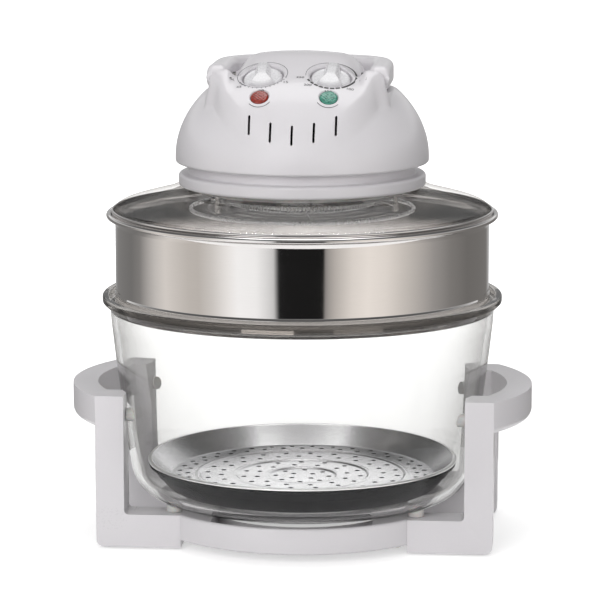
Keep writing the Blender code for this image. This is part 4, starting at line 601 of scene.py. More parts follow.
def makeRing():
    s = ringShape
    seat = stack.ringSeat
    ledge = seat + s.ledgeHeight
    r = s.radius
    bead = (s.top - s.bead, ledge + s.bead - s.sheet / 2)
    curl = arcPoints(bead, s.bead, 205, -75, 20)
    outer = roundCorners([
        curl[-1], (r + 2.0 * mm, ledge - 1.5 * mm, 1.2), (r, seat + s.wallHeight - 1 * mm, 2),
        (r, seat + s.skirt + 2.4 * mm, 1.5), (r + s.crease * 0.85, seat + s.skirt + 0.6 * mm, 0.9),
        (r + s.crease * 0.35, seat + s.skirt - 1.4 * mm, 0.9), (r + s.crease, seat + 0.5 * mm, 0.4),
        (r + s.crease - 0.3 * mm, seat),
    ])
    inner = roundCorners([
        (r - s.sheet, seat), (r - s.sheet, seat + s.wallHeight, 1.5), (r + 0.6 * mm, ledge, 0.8),
        (curl[0][0] - 0.2 * mm, ledge),
    ])
    piece = lathe("extensionRing", curl + outer[1:] + inner, looks["polished_steel"], 192)
    return wear(piece, "ring", "polished_steel", "extension_ring")


makeRing()
print("extension ring done")

# lid: glass, band and seal
lidShape = Shape(
    dict(glass=4.0, edge=157, hole=90, rise=20, bandRadius=159, bandHeight=6.2, bandLip=5.5, bandSheet=1.2),
    shares=((0, 0), (0.10, 0.285), (0.567, 0.71), (0.731, 0.915), (0.851, 0.985), (1, 1)),
)


def makeLid():
    s = lidShape
    low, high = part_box("lid_glass")[0].z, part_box("lid_glass")[1].z
    span = s.edge - s.hole
    base = high - s.rise
    line = [(s.edge - across * span, base + rise * s.rise) for across, rise in s.shares]
    top = smoothLine(line, 7)
    under = [(radius, height - s.glass) for radius, height in top]
    outer = roundCorners([(top[1][0], top[1][1]), (s.edge, base, 1.2), (s.edge, low, 1.0), under[1]])
    outline = top[1:] + [(s.hole, low + s.rise)] + under[1:-1][::-1] + outer[1:-1][::-1]
    piece = lathe("lidGlass", outline, looks["lid_glass"], 176)
    wear(piece, "lid", "clear_glass", "lid_glass")

    seat = stack.lidSeat
    bore = s.edge + 0.3 * mm
    band = roundCorners([
        (bore, seat + s.bandHeight - 0.5 * mm, 0.3), (bore + 0.5 * mm, seat + s.bandHeight, 0.4),
        (s.bandRadius - 0.3 * mm, seat + s.bandHeight, 0.6),
        (s.bandRadius, seat + s.bandHeight - 1.2 * mm, 0.5),
        (s.bandRadius - 0.5 * mm, seat + 2.6 * mm, 0.8), (s.bandRadius, seat + 1.2 * mm, 0.7),
        (s.bandRadius - 0.8 * mm, seat, 0.7), (s.bandRadius - s.bandLip, seat, 0.4),
        (s.bandRadius - s.bandLip, seat + s.bandSheet, 0.4), (bore, seat + s.bandSheet, 0.3),
    ], closed=True)
    piece = lathe("lidBand", band, looks["polished_steel"], 176)
    wear(piece, "lid", "polished_steel", "lid_band")


def makeGasket():
    low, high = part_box("lid_gasket")
    outer = high.x
    inner = outer - 2.3 * mm
    outline = roundCorners([
        (inner, low.z, 0.6), (outer, low.z, 0.8), (outer, high.z), (inner, high.z),
    ], closed=True)
    wear(lathe("lidSeal", outline, looks["pale_silicone"], 120), "lid", "pale_silicone", "lid_gasket")


makeLid()
makeGasket()
print("lid done")

# head: collar and neck
headShape = Shape(
    dict(
        wall=2.5, collar=102.9, collarHeight=10.5, neck=94.5, hole=90, dome=105.5, rise=84,
        innerEdge=90)
)


def makeLowerHousing():
    s = headShape
    low, top = stack.collarBottom, stack.neckTop
    high = low + s.collarHeight
    wall = s.wall
    outline = roundCorners([
        (s.neck, top), (s.neck, high, 1.4), (s.collar, high, 2.6), (s.collar, low, 2.4),
        (s.hole, low, 0.6), (s.hole, low + wall), (s.collar - wall, low + wall, 1),
        (s.collar - wall, high - wall, 1), (s.neck - wall, high - wall, 0.5), (s.neck - wall, top),
    ], closed=True, step=10)
    piece = lathe("lowerHousing", outline, looks["housing"], 176)
    wear(piece, "lid", "housing", "lower_housing")


# head: dome with the control hump blended into it, dial recesses and vents
humpShape = Shape(
    dict(
        halfWidth=75.01, reach=102.5, back=10, toe=18.5, rise=69.5, crown=290, root=16, island=56.51, round=5.0,
        foot=1.8, islandEdge=52.5, islandRound=20, shoulder=8, cheek=5, blend=2.5, slotFront=45.2, pivot=34),
    square=2.4, backSquare=4.0,
    line=(  # shares of reach and rise
        (1.0, 0.0), (0.91, 0.27), (0.81, 0.49), (0.673, 0.665), (0.49, 0.795), (0.302, 0.91), (0.176, 0.975),
        (0.05, 1.0), (-0.10, 0.985)),
    angles=264, insets=(0, 0.5, 1.0, 1.6, 2.3, 3.1, 4.0, 5.0, 6.2, 7.5, 9, 11, 13),
    feet=((0.5, 0.1), (1.0, 0.2), (1.8, 0.32)), outer=16,
)
dialShape = Shape(
    dict(x=28.01, y=51, cup=20.7, stemHole=3.4, recess=17.3, depth=7, floor=3.5, topDepth=2.8, lampY=77.5, lamp=7.2),
    pitch=24, splay=5, lampPitch=40,
)
ventShape = Shape(  # the small offsets keep the vents' edges off those of the mesh
    dict(pitch=17.5, half=0.95, length=15.5, back=-80.3, offX=0.07, offZ=0.03),
    round=0.9, tops=(42.8, 37.6, 35.5, 37.6, 42.8),
)
pinHole = 2.8 * mm


def ease(low, high, value):  # a soft step from 0 at low to 1 at high
    t = min(max((value - low) / (high - low), 0), 1)
    return t * t * (3 - 2 * t)


def humpLine(reach):  # the hump's height along its middle, at a distance in front of the centre
    s = humpShape
    shares = s.line
    where = min(max(reach / s.reach, shares[-1][0]), shares[0][0])
    index = 0
    while index < len(shares) - 2 and where < shares[index + 1][0]:
        index += 1
    before, start, end = shares[max(index - 1, 0)], shares[index], shares[index + 1]
    after = shares[min(index + 2, len(shares) - 1)]
    span = end[0] - start[0]
    t = (where - start[0]) / span
    slopeIn = (end[1] - before[1]) / (end[0] - before[0]) * span
    slopeOut = (after[1] - start[1]) / (after[0] - start[0]) * span
    level = (2 * t ** 3 - 3 * t ** 2 + 1) * start[1] + (t ** 3 - 2 * t ** 2 + t) * slopeIn
    level += (3 * t ** 2 - 2 * t ** 3) * end[1] + (t ** 3 - t ** 2) * slopeOut
    return stack.domeCentre + s.toe + level * s.rise


def humpTop(x, y):
    s = humpShape
    shoulder = s.shoulder * ease(49 * mm, 58 * mm, abs(x)) * ease(74 * mm, 49 * mm, -y)
    return humpLine(-y) - x * x / (2 * s.crown) + shoulder


def domeTop(x, y):  # the dome, with its flat deck
    share = 1 - (x * x + y * y) / headShape.dome ** 2
    dome = stack.domeCentre + headShape.rise * math.sqrt(max(share, 0))
    near = max(humpShape.blend - abs(dome - stack.deck), 0) / humpShape.blend
    return min(dome, stack.deck) - near * near * humpShape.blend / 4


def headTop(x, y, inset):  # inset: how far inside the hump's outline
    s = humpShape
    base = domeTop(x, y)
    share = ease(0, 1, max((inset + s.foot) / (s.round + s.foot), 0) ** 0.75)
    over = min(max(abs(x) - s.islandEdge + s.islandRound, 0), s.islandRound)
    dip = s.islandRound - math.sqrt(s.islandRound ** 2 - over ** 2)
    hump = humpTop(x, y) - dip * ease(-49 * mm, -44 * mm, y)
    return base + max(hump - base, 0) * share


def humpEdge(angle):  # a point on the hump's outline, seen from above
    s = humpShape
    cosine, sine = math.cos(angle), math.sin(angle)
    square = s.square if sine < 0 else s.backSquare
    along = s.reach if sine < 0 else s.back
    x = s.halfWidth * abs(cosine) ** (2 / square)
    y = along * math.copysign(abs(sine) ** (2 / square), sine)
    x = min(x + s.cheek * ease(-60 * mm, -46 * mm, y), s.halfWidth)
    return Vector((math.copysign(x, cosine), y))


def humpRays():  # edge point, way in, room inside, room out to the dome's rim, squareness
    s = humpShape
    middle = Vector((0, -s.reach / 3))
    rays = []
    for index in range(s.angles):
        edge, before, after = (humpEdge(math.tau * (index + step) / s.angles) for step in (0, -1, 1))
        inward, along = (middle - edge).normalized(), (after - before).normalized()
        out = -inward
        reach = -edge.dot(out) + math.sqrt(edge.dot(out) ** 2 - edge.length_squared + headShape.dome ** 2)
        rays.append((edge, inward, (middle - edge).length, reach, abs(inward.x * along.y - inward.y * along.x)))
    return middle, rays


def loopFaces(loops, count):
    faces = []
    for a, b in zip(loops, loops[1:]):
        for index in range(count):
            after = (index + 1) % count
            faces.append((a[index], b[index], b[after], a[after]))
    return faces


def makeHeadSolid(under):  # the outer shape, closed below by the outline given
    s = humpShape
    middle, rays = humpRays()
    verts, loops = [(middle.x, middle.y, headTop(middle.x, middle.y, 1))], []

    def addLoop(spots):
        loops.append(list(range(len(verts), len(verts) + len(spots))))
        verts.extend(spots)

    steps = [(15, share / 14) for share in range(13, -1, -1)] + [(inset, 0) for inset in reversed(s.insets)]
    for inset, share in steps:
        spots = []
        for edge, inward, room, reach, square in rays:
            deep = inset * mm + (room - inset * mm) * share
            spot = edge + inward * deep
            spots.append((spot.x, spot.y, headTop(spot.x, spot.y, deep * square)))
        addLoop(spots)
    steps = [(foot * mm, most, 0) for foot, most in s.feet]
    steps += [(*steps[-1][:2], 1 - (1 - step / s.outer) ** 2) for step in range(1, s.outer + 1)]
    for foot, most, share in steps:
        spots = []
        for edge, inward, room, reach, square in rays:
            out = min(foot, reach * most)
            out += (reach - out) * share
            spot = edge - inward * out
            spots.append((spot.x, spot.y, headTop(spot.x, spot.y, -out * square)))
        addLoop(spots)
    rim = [Vector((x, y)).normalized() for x, y, z in spots]
    for radius, height in under[:-1]:
        addLoop([(way.x * radius, way.y * radius, height) for way in rim])
    last = len(verts)
    verts.append((0, 0, under[-1][1]))
    count = len(rays)
    faces = loopFaces(loops, count)
    for index in range(count):
        after = (index + 1) % count
        faces += [(0, loops[0][index], loops[0][after]), (last, loops[-1][after], loops[-1][index])]
    return newPiece("upperHousing", verts, faces, looks["housing"])


def makeHollow():  # the room under the hump for what it holds
    s = humpShape
    middle, rays = humpRays()
    narrow = (s.island - headShape.wall) / s.halfWidth
    roof, bottom = 4.2 * mm, stack.domeCentre + s.root
    verts, loops = [(0, middle.y, headTop(0, middle.y, 1) - roof), (0, middle.y, bottom)], []
    for share in (0.0, 0.06, 0.14, 0.25, 0.4, 0.6, 0.8, 0.93):
        loop = []
        for edge, inward, room, reach, square in rays[::3]:
            spot = edge + inward * room * share
            x, y = spot.x * narrow, spot.y * (0.955 if spot.y < 0 else 0.7)
            loop.append(len(verts))
            verts.append((x, y, headTop(x, y, room * share * square + 4 * mm) - roof))
        loops.insert(0, loop)
    loop = []
    for index in loops[-1]:
        loop.append(len(verts))
        verts.append((*verts[index][:2], bottom))
    loops.append(loop)
    faces = loopFaces(loops, len(loop))
    for index in range(len(loop)):
        after = (index + 1) % len(loop)
        faces += [(0, loops[0][index], loops[0][after]), (1, loop[after], loop[index])]
    return newPiece("hollow", verts, faces, None)


def faceFrame(x, y, pitch, splay):
    return Matrix.Translation((x, y, humpTop(x, y))) @ (turned(splay, "Y") @ turned(pitch, "X"))


def dialFrame(sign):
    return faceFrame(sign * dialShape.x, -dialShape.y, dialShape.pitch, sign * dialShape.splay)


def lampFrame(sign):
    return faceFrame(sign * dialShape.x, -dialShape.lampY, dialShape.lampPitch, sign * dialShape.splay)


def turnedTool(name, outline, matrix, segments=72):
    return place(lathe(name, outline, None, segments, closed=False), matrix)


def crossBar(name, start, end, radius, segments=24):
    start, end = Vector(start), Vector(end)
    length = (end - start).length
    turn = (end - start).to_track_quat("Z", "Y").to_matrix().to_4x4()
    outline = [(0, 0), (radius, 0), (radius, length), (0, length)]
    return turnedTool(name, outline, Matrix.Translation(start) @ turn, segments)


def boxTool(name, low, high):
    (x0, y0, z0), (x1, y1, z1) = low, high
    return slab(name, [(x0, y0), (x1, y0), (x1, y1), (x0, y1)], z0, z1)


def makeUpperHousing():
    s, h, d = headShape, humpShape, dialShape
    centre, bottom, deck = stack.domeCentre, stack.domeBottom, stack.deck
    wall = s.wall

    def side(inset, level, steps):
        rise = s.rise - inset
        start = math.degrees(math.asin((level - centre) / rise))
        points = []
        for index in range(steps + 1):
            angle = math.radians(start * (1 - index / steps))
            points.append(((s.dome - inset) * math.cos(angle), centre + rise * math.sin(angle)))
        return points

    under = roundCorners([
        (s.dome, centre), (s.dome, bottom, 3.0), (s.innerEdge, bottom, 0.6),
        (s.innerEdge, bottom + wall, 0.6), (s.dome - wall, bottom + wall, 1), (s.dome - wall, centre),
    ])[1:] + side(wall, deck - wall, 14)[::-1][1:] + [(0, deck - wall)]
    piece = makeHeadSolid(under)
    tools = [makeHollow()]
    for sign in (-1, 1):
        near, far, rear = sign * h.island, sign * s.dome * 1.02, h.reach * 1.1
        slot = [(near, -h.slotFront), (far, -h.slotFront), (far, rear), (near, rear)]
        tools.append(slab("armSlot", slot, deck - 0.5 * mm, deck + h.rise))
        ends = [(sign * x, -h.pivot, pivotHeight) for x in (h.island * 0.6, h.halfWidth)]
        tools.append(crossBar("pinHole", *ends, pinHole))
    combine(piece, tools, "DIFFERENCE")

    cups, bores = [], []
    for sign in (-1, 1):
        low = -d.depth - d.floor
        cup = [(0, low), (d.cup, low), (d.cup, -d.topDepth), (0, -d.topDepth)]
        cups.append(turnedTool("cup", cup, dialFrame(sign)))
        dish = roundCorners([
            (0, -20 * mm), (d.stemHole, -20 * mm), (d.stemHole, -d.depth), (d.recess - 0.2 * mm, -d.depth, 1.2),
            (d.recess, -1.9 * mm, 1.4), (d.recess + 1.9 * mm, -0.25 * mm, 1.2),
            (d.recess + 3.6 * mm, 0.9 * mm), (d.recess + 3.6 * mm, 8 * mm), (0, 8 * mm),
        ], step=10)
        bores.append(turnedTool("dish", dish, dialFrame(sign), 96))
        seat = d.lamp + 0.3 * mm
        lampHole = roundCorners([
            (0, -12 * mm), (seat, -12 * mm), (seat, -0.9 * mm, 0.4), (seat + 1.0 * mm, -0.1 * mm),
            (seat + 1.6 * mm, 4 * mm), (0, 4 * mm)])
        bores.append(turnedTool("lampHole", lampHole, lampFrame(sign), 64))
    combine(piece, cups, "UNION")
    v = ventShape
    vents = []
    for index, top in enumerate(v.tops):
        x, high = (index - 2) * v.pitch + v.offX, centre + top * mm + v.offZ
        low = high - v.length
        outline = roundCorners([
            (x - v.half, low, v.round), (x + v.half, low, v.round), (x + v.half, high, v.round),
            (x - v.half, high, v.round)], closed=True)
        vents.append(slab("vent", outline, -h.reach - 4 * mm, v.back, plane="XZ"))
    plunger, gland = (66.5 * mm, 10 * mm), centre + 14 * mm
    bores.append(crossBar("plungerHole", (*plunger, deck - 8 * mm), (*plunger, deck + 4 * mm), 3.0 * mm))
    bores.append(crossBar("glandHole", (0, s.dome / 2, gland), (0, s.dome * 2, gland), 7.6 * mm, 40))
    combine(piece, bores, "DIFFERENCE", 30)
    combine(piece, vents, "DIFFERENCE", 30)
    return wear(piece, "lid", "housing", "upper_housing")


pivotHeight = (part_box("carrying_handle")[0].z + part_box("carrying_handle")[1].z) / 2
makeLowerHousing()
makeUpperHousing()
print("head done")

# carrying handle: a band swept round the rear, with rounded front ends
gripShape = Shape(dict(inner=58.01, outer=75.01, back=72, cornerStart=8, height=20.7, round=6, pivot=34), square=2.7)


def gripEdge(half, back, steps):  # one edge of the band, from the left end round the rear to the right
    s = gripShape
    points = []
    depth = back - s.cornerStart
    for index in range(steps + 1):
        angle = math.pi - math.pi * index / steps
        cosine, sine = math.cos(angle), max(math.sin(angle), 0)
        x = half * math.copysign(abs(cosine) ** (2 / s.square), cosine)
        points.append((x, s.cornerStart + depth * sine ** (2 / s.square)))
    return points


def evenly(points, count):  # the same line with evenly spaced points
    lengths = [0]
    for a, b in zip(points, points[1:]):
        lengths.append(lengths[-1] + math.dist(a, b))
    made, index = [], 0
    for step in range(count + 1):
        wanted = lengths[-1] * step / count
        while index < len(points) - 2 and lengths[index + 1] < wanted:
            index += 1
        t = (wanted - lengths[index]) / (lengths[index + 1] - lengths[index])
        made.append(tuple(a + (b - a) * t for a, b in zip(points[index], points[index + 1])))
    return made


def roundedSection(halfWidth, halfHeight, corner, steps=5):
    corner = min(corner, halfWidth * 0.98, halfHeight * 0.98)
    made = []
    for signX, signZ, start in ((1, 1, 0), (-1, 1, 90), (-1, -1, 180), (1, -1, 270)):
        centre = (signX * (halfWidth - corner), signZ * (halfHeight - corner))
        made += arcPoints(centre, corner, start, start + 90, steps)
    return made


def makeGrip():
    s = gripShape
    half = s.height / 2
    outer = evenly(gripEdge(s.outer, s.back, 200), 150)
    inner = evenly(gripEdge(s.inner, s.back - (s.outer - s.inner), 200), 150)
    stations = []  # left side, right side, half height
    front = -s.pivot
    for index in range(10):
        angle = math.radians(90 * (1 - index / 10))
        y = front - half * math.sin(angle)
        stations.append(((-s.outer, y), (-s.inner, y), max(half * math.cos(angle), 0.6 * mm)))
    for index in range(8):
        y = front + (s.cornerStart - front) * index / 8
        stations.append(((-s.outer, y), (-s.inner, y), half))
    stations += [(a, b, half) for a, b in zip(outer, inner)]
    stations += [((-a[0], a[1]), (-b[0], b[1]), height) for a, b, height in reversed(stations[:18])]
    loops = []
    for a, b, height in stations:
        a, b = Vector(a), Vector(b)
        middle, across = (a + b) / 2, (a - b).normalized()
        section = roundedSection((a - b).length / 2, height, s.round)
        loops.append([(*(middle + across * wide), pivotHeight + high) for wide, high in section])
    piece = loft("carryingHandle", loops, looks["housing"], 40)
    tools = []
    for sign in (-1, 1):
        ends = (s.inner - 4 * mm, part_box("handle_pin_right")[1].x + 0.3 * mm)
        tools.append(crossBar("handleHole", *((sign * x, front, pivotHeight) for x in ends), pinHole))
    combine(piece, tools, "DIFFERENCE", 40)
    wear(piece, "handle", "housing", "carrying_handle")


makeGrip()
print("handle done")


# knobs, lamps and printed marks
def heightDisc(name, matrix, radius, bottom, heightAt, paint, rings, segments):
    loops = [[(0, 0, heightAt(0, 0))]]
    for ring in range(1, rings + 1):
        spots = [polar(radius * (ring / rings) ** 0.9, math.tau * index / segments) for index in range(segments)]
        loops.append([(u, v, heightAt(u, v)) for u, v in spots])
    loops.append([(u, v, bottom) for u, v in spots])
    return place(loft(name, loops, paint, 42), matrix)


knobShape = Shape(dict(radius=15.8, disc=4.0, top=4.5, bar=4.1, flare=9.5))


def makeKnob(name, sign, node):
    s = knobShape
    floor = 0.6 * mm - dialShape.depth
    disc = floor + s.disc

    def heightAt(u, v):
        flare = ease(-1 * mm, -14.5 * mm, v) if v < -1 * mm else 0
        half = s.bar + (s.flare - s.bar) * flare ** 1.6
        rim = math.hypot(u, v)
        top = s.top - 1.2 * mm * ease(6 * mm, 15 * mm, abs(v)) - 1.1 * mm * flare
        side = ease(half + 2.6 * mm, half - 0.9 * mm, abs(u))
        height = disc + (top - disc) * side
        height -= 1.1 * mm * ease(14.3 * mm, 15.8 * mm, rim) ** 2
        height += 0.45 * mm * math.exp(-((rim - 14.0 * mm) / (0.7 * mm)) ** 2) * (1 - side)
        return height

    piece = heightDisc(name, dialFrame(sign), s.radius, floor, heightAt, looks["knob"], 34, 120)
    low, high = -dialShape.depth - dialShape.floor, floor + 1 * mm
    stem = turnedTool("stem", [(0, low), (3 * mm, low), (3 * mm, high), (0, high)], dialFrame(sign), 32)
    combine(piece, [stem], "UNION", 42)
    body = "timer_dial" if sign < 0 else "thermostat_dial"
    wear(piece, body, "knob", node)


def makeLamp(name, sign, paint, node):
    d = dialShape

    def heightAt(u, v):
        rim = math.hypot(u, v) / d.lamp
        dome = 1.1 * mm * (1 - rim ** 2.5)
        pebbles = 0.14 * mm * math.sin(u * 2300) * math.sin(v * 2300 + 0.7) * (1 - rim ** 4)
        return dome + pebbles - 0.5 * mm * ease(0.86, 1.0, rim)

    piece = heightDisc(name, lampFrame(sign), d.lamp, -6 * mm, heightAt, looks[paint], 30, 72)
    wear(piece, "lid", paint, node)


def inkMap(matrix, lift=0.11 * mm):  # from a dial's own plane on to the hump's surface
    normal = (matrix.to_3x3() @ Vector((0, 0, 1))).normalized()

    def onto(u, v):
        spot = matrix @ Vector((u, v, 0))
        for _ in range(6):
            gap = humpTop(spot.x, spot.y) - spot.z
            spot = spot + normal * (gap * normal.z)
        return spot + normal * lift
    return onto


class Ink:  # collects printed marks into one thin piece
    def __init__(self, name, matrix):
        self.name, self.onto, self.verts, self.faces = name, inkMap(matrix), [], []

    def strip(self, left, right):
        first = len(self.verts)
        for a, b in zip(left, right):
            self.verts += [self.onto(*a), self.onto(*b)]
        for index in range(len(left) - 1):
            n = first + 2 * index
            self.faces.append((n, n + 1, n + 3, n + 2))

    def arc(self, radius, width, fromDeg, toDeg, taper=None):
        steps = max(3, int(abs(toDeg - fromDeg) / 4))
        left, right = [], []
        for index in range(steps + 1):
            angle = math.radians(fromDeg + (toDeg - fromDeg) * index / steps)
            wide = width if taper is None else width + (taper - width) * index / steps
            for side, out in ((left, -wide / 2), (right, wide / 2)):
                side.append(polar(radius + out, angle))
        self.strip(left, right)

    def ticks(self, radius, length, width, degrees):
        for angle in degrees:
            half = math.degrees(width / radius) / 2
            self.arc(radius + length / 2, length, angle - half, angle + half)

    def words(self, text, u, v, size):
        curve = bpy.data.curves.new("mark", "FONT")
        curve.body, curve.size, curve.align_x, curve.align_y = text, size, "CENTER", "CENTER"
        holder = bpy.data.objects.new("mark", curve)
        bpy.context.scene.collection.objects.link(holder)
        bpy.context.view_layer.update()
        mesh = bpy.data.meshes.new_from_object(holder.evaluated_get(bpy.context.evaluated_depsgraph_get()))
        first = len(self.verts)
        self.verts += [self.onto(u + vert.co.x * 1.12, v + vert.co.y) for vert in mesh.vertices]
        self.faces += [tuple(first + corner for corner in face.vertices) for face in mesh.polygons]
        bpy.data.objects.remove(holder, do_unlink=True)
        bpy.data.curves.remove(curve)
        bpy.data.meshes.remove(mesh)

    def ring(self, marks, across, along, size):  # texts with their angles, on an ellipse
        for text, angle in marks:
            way = math.radians(angle)
            self.words(text, across * math.cos(way), along * math.sin(way), size)

    def print(self, paint, slotName="black_plastic"):
        mesh = bpy.data.meshes.new(self.name)
        mesh.from_pydata([tuple(v) for v in self.verts], [], self.faces)
        piece = bpy.data.objects.new(self.name, mesh)
        bpy.context.scene.collection.objects.link(piece)
        mesh.materials.append(looks[paint])
        mesh.shade_smooth()
        thick = piece.modifiers.new("thick", "SOLIDIFY")
        thick.thickness, thick.offset = 0.03 * mm, 1
        settle(piece, 30)
        wear(piece, "lid", slotName)


def printMarks():  # degrees run anticlockwise from the right of each dial, with -90 towards the front
    timer = Ink("timerScale", dialFrame(-1))
    timer.arc(20.6 * mm, 0.45 * mm, -20, 232)
    timer.ticks(20.0 * mm, 1.4 * mm, 0.5 * mm, [-150 + 10 * n for n in range(14)])
    timer.arc(20.1 * mm, 0.35 * mm, 205, 330)
    timer.print("grey_ink")
    numbers = Ink("timerNumbers", dialFrame(-1))
    numbers.ring((("60", 192), ("45", 222), ("30", 270), ("15", 322)), 24.8 * mm, 24.3 * mm, 4.1 * mm)
    numbers.print("black_ink")
    heat = Ink("thermostatLine", dialFrame(1))
    heat.arc(20.6 * mm, 0.4 * mm, 60, 190)
    heat.print("grey_ink")
    scale = Ink("thermostatScale", dialFrame(1))
    scale.arc(20.6 * mm, 1.9 * mm, -60, 10, taper=1.5 * mm)
    scale.arc(20.6 * mm, 1.5 * mm, 10, 95, taper=0.3 * mm)
    for start in range(-152, -62, 13):
        scale.arc(20.5 * mm, 1.7 * mm, start, start + 10.5)
    scale.ring((("250", 197), ("200", 228), ("150", 270), ("100", 312)), 25.6 * mm, 24.7 * mm, 3.9 * mm)
    for shift in (0, 1.6 * mm):
        scale.strip([(23.6 * mm, -4.4 * mm - shift), (29.2 * mm, -5.4 * mm - shift)],
                    [(23.6 * mm, -5.1 * mm - shift), (29.2 * mm, -6.1 * mm - shift)])
    scale.print("black_ink")
    for sign, name in ((-1, "powerArc"), (1, "heatArc")):
        lamp = Ink(name, lampFrame(sign))
        lamp.arc(10.6 * mm, 0.5 * mm, -142, -38)
        lamp.print("black_ink")


makeKnob("timerKnob", -1, "timer_knob")
makeKnob("thermostatKnob", 1, "thermostat_knob")
makeLamp("powerLamp", -1, "red_lens", "power_lamp")
makeLamp("heatLamp", 1, "green_lens", "heat_lamp")
printMarks()
print("controls done")

# heater: reflector, tube with its filament, guard and posts
heaterShape = Shape(
    dict(hole=4, reflector=80, skirt=11, sheet=1.2, tubeRing=58, coil=2.3, tube=4.5, guard=93, wire=1.65),
    holderAngle=9, turns=110, rings=(1.0, 0.84, 0.68, 0.52, 0.36),
)


def makeHeater():
    s = heaterShape
    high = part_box("reflector")[1].z
    sheet = s.sheet
    top = [(s.hole, high), (s.reflector, high, 2.5), (s.reflector, high - s.skirt, 0.5)]
    under = [(s.reflector - sheet, high - s.skirt, 0.5), (s.reflector - sheet, high - sheet, 2)]
    for radius in (70 * mm, 46 * mm, 30 * mm):
        under += [
            (radius + 2 * mm, high - sheet, 0.8), (radius, high - sheet * 0.45, 1),
            (radius - 2 * mm, high - sheet, 0.8)]
    under.append((s.hole, high - sheet))
    piece = lathe("reflector", roundCorners(top + under, closed=True), looks["mirror_sheet"], 120)
    wear(piece, "lid", "bright_sheet", "reflector")

    low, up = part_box("halogen_tube")
    level = (low.z + up.z) / 2
    gap = math.radians(s.holderAngle) + 5.6 * mm / s.tubeRing
    start, sweep = math.radians(90) + gap, math.tau - 2 * gap
    path = [polar(s.tubeRing, start + sweep * index / 96, level) for index in range(97)]
    wear(pipe("halogenTube", path, s.tube, looks["tube_glass"], 16), "lid", "tube_glass", "halogen_tube")
    coil = []
    for index in range(s.turns * 7 + 1):
        share = index / (s.turns * 7)
        across, rise = polar(s.coil, math.tau * s.turns * share)
        coil.append(polar(s.tubeRing + across, start + sweep * (0.01 + 0.98 * share), level + rise))
    wear(pipe("filament", coil, 0.5 * mm, looks["bright_sheet"], 5), "lid", "core_steel")

    level = (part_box("guard_ring")[0].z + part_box("guard_ring")[1].z) / 2
    pieces = []
    for index, share in enumerate(s.rings):
        steps = 72 if index else 120
        path = [polar(s.guard * share, math.tau * n / steps, level) for n in range(steps)]
        # the inner rings take the dark wire, painted shade inside the guard; the outer ring stays bright
        wire, paint = (s.wire * 0.72, "painted_shade_wire") if index else (s.wire, "bright_sheet")
        pieces.append(pipe("guardWire%d" % index, path, wire, looks[paint], 10, closed=True))
    # the spokes take the dark wire too, painted shade
    for index in range(6):
        inner, angle = s.guard * s.rings[-1], math.radians(40 + 60 * index)
        path = [polar(inner + (s.guard - inner) * step / 8, angle, level + s.wire * 0.1) for step in range(9)]
        pieces.append(pipe("guardSpoke%d" % index, path, s.wire * 0.72, looks["painted_shade_wire"], 8))
    wear(pieces[0], "lid", "polished_steel", "guard_ring")
    for piece in pieces[1:]:
        wear(piece, "lid", "polished_steel")


def makeTubeHolders():
    for node in ("tube_holder_left", "tube_holder_right"):
        low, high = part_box(node)
        centre = (low + high) / 2
        angle = math.atan2(centre.y, centre.x)
        corners = [(a * 6 * mm, b * 4.5 * mm, 1) for a, b in ((-1, -1), (1, -1), (1, 1), (-1, 1))]
        outline = roundCorners(corners, closed=True)
        piece = slab(node.replace("tube_holder_", "tubeHolder"), outline, low.z, high.z, looks["white_ceramic"])
        roundEdges(piece, 0.7 * mm, 3, 50)
        spot = Matrix.Translation(polar(heaterShape.tubeRing, angle, 0))
        place(piece, spot @ Matrix.Rotation(angle, 4, "Z"))
        wear(piece, "lid", "white_ceramic", node)


def makeRound(node, name, paint, slotName, body, soft, segments=24, groove=0.0):
    low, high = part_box(node)
    centre = (low + high) / 2
    radius = (high.y - low.y) / 2
    height = (high.z - low.z) / 2
    outline = [(0, -height), (radius, -height, soft)]
    if groove:
        shares = ((0, -0.4), (groove, -0.25), (groove, 0.25), (0, 0.4))
        outline += [(radius - deep * mm, height * share, groove) for deep, share in shares]
    outline += [(radius, height, soft), (0, height)]
    piece = lathe(name, roundCorners(outline), looks[paint], segments, closed=False)
    place(piece, Matrix.Translation(centre))
    return wear(piece, body, slotName, node)


makeHeater()
makeTubeHolders()
for number in (1, 2, 3):
    node, name = "guard_post_%d" % number, "guardPost%d" % number
    makeRound(node, name, "wire_steel", "polished_steel", "lid", 0.3, groove=0.5)
makeRound("thermostat_bulb", "thermostatBulb", "wire_steel", "polished_steel", "lid", 1.2)
print("heater done")

# base: ring, side frames, feet, pads, bumpers and screws
baseShape = Shape(
    dict(
        outerX=163.5, innerX=93.3, post=23.5, front=85, leg=29, railLow=1.8, top=128.4, bulge=29.5, barWidth=21,
        barHeight=27, barRound=7, soft=6.2, toBowl=1.6, ringOuter=127, ringInner=80,
        screwIn=8.5, screwHole=2.1, troughReach=66, troughDepth=15)
)


def bowlTool(away):
    outline = [(0, stack.bowlTop), (bowlShape.topRadius + away, stack.bowlTop)] + bowlSide(away)
    outline.append((0, stack.bowlBottom - away))
    return lathe("bowlTool", outline, None, 128, closed=False)


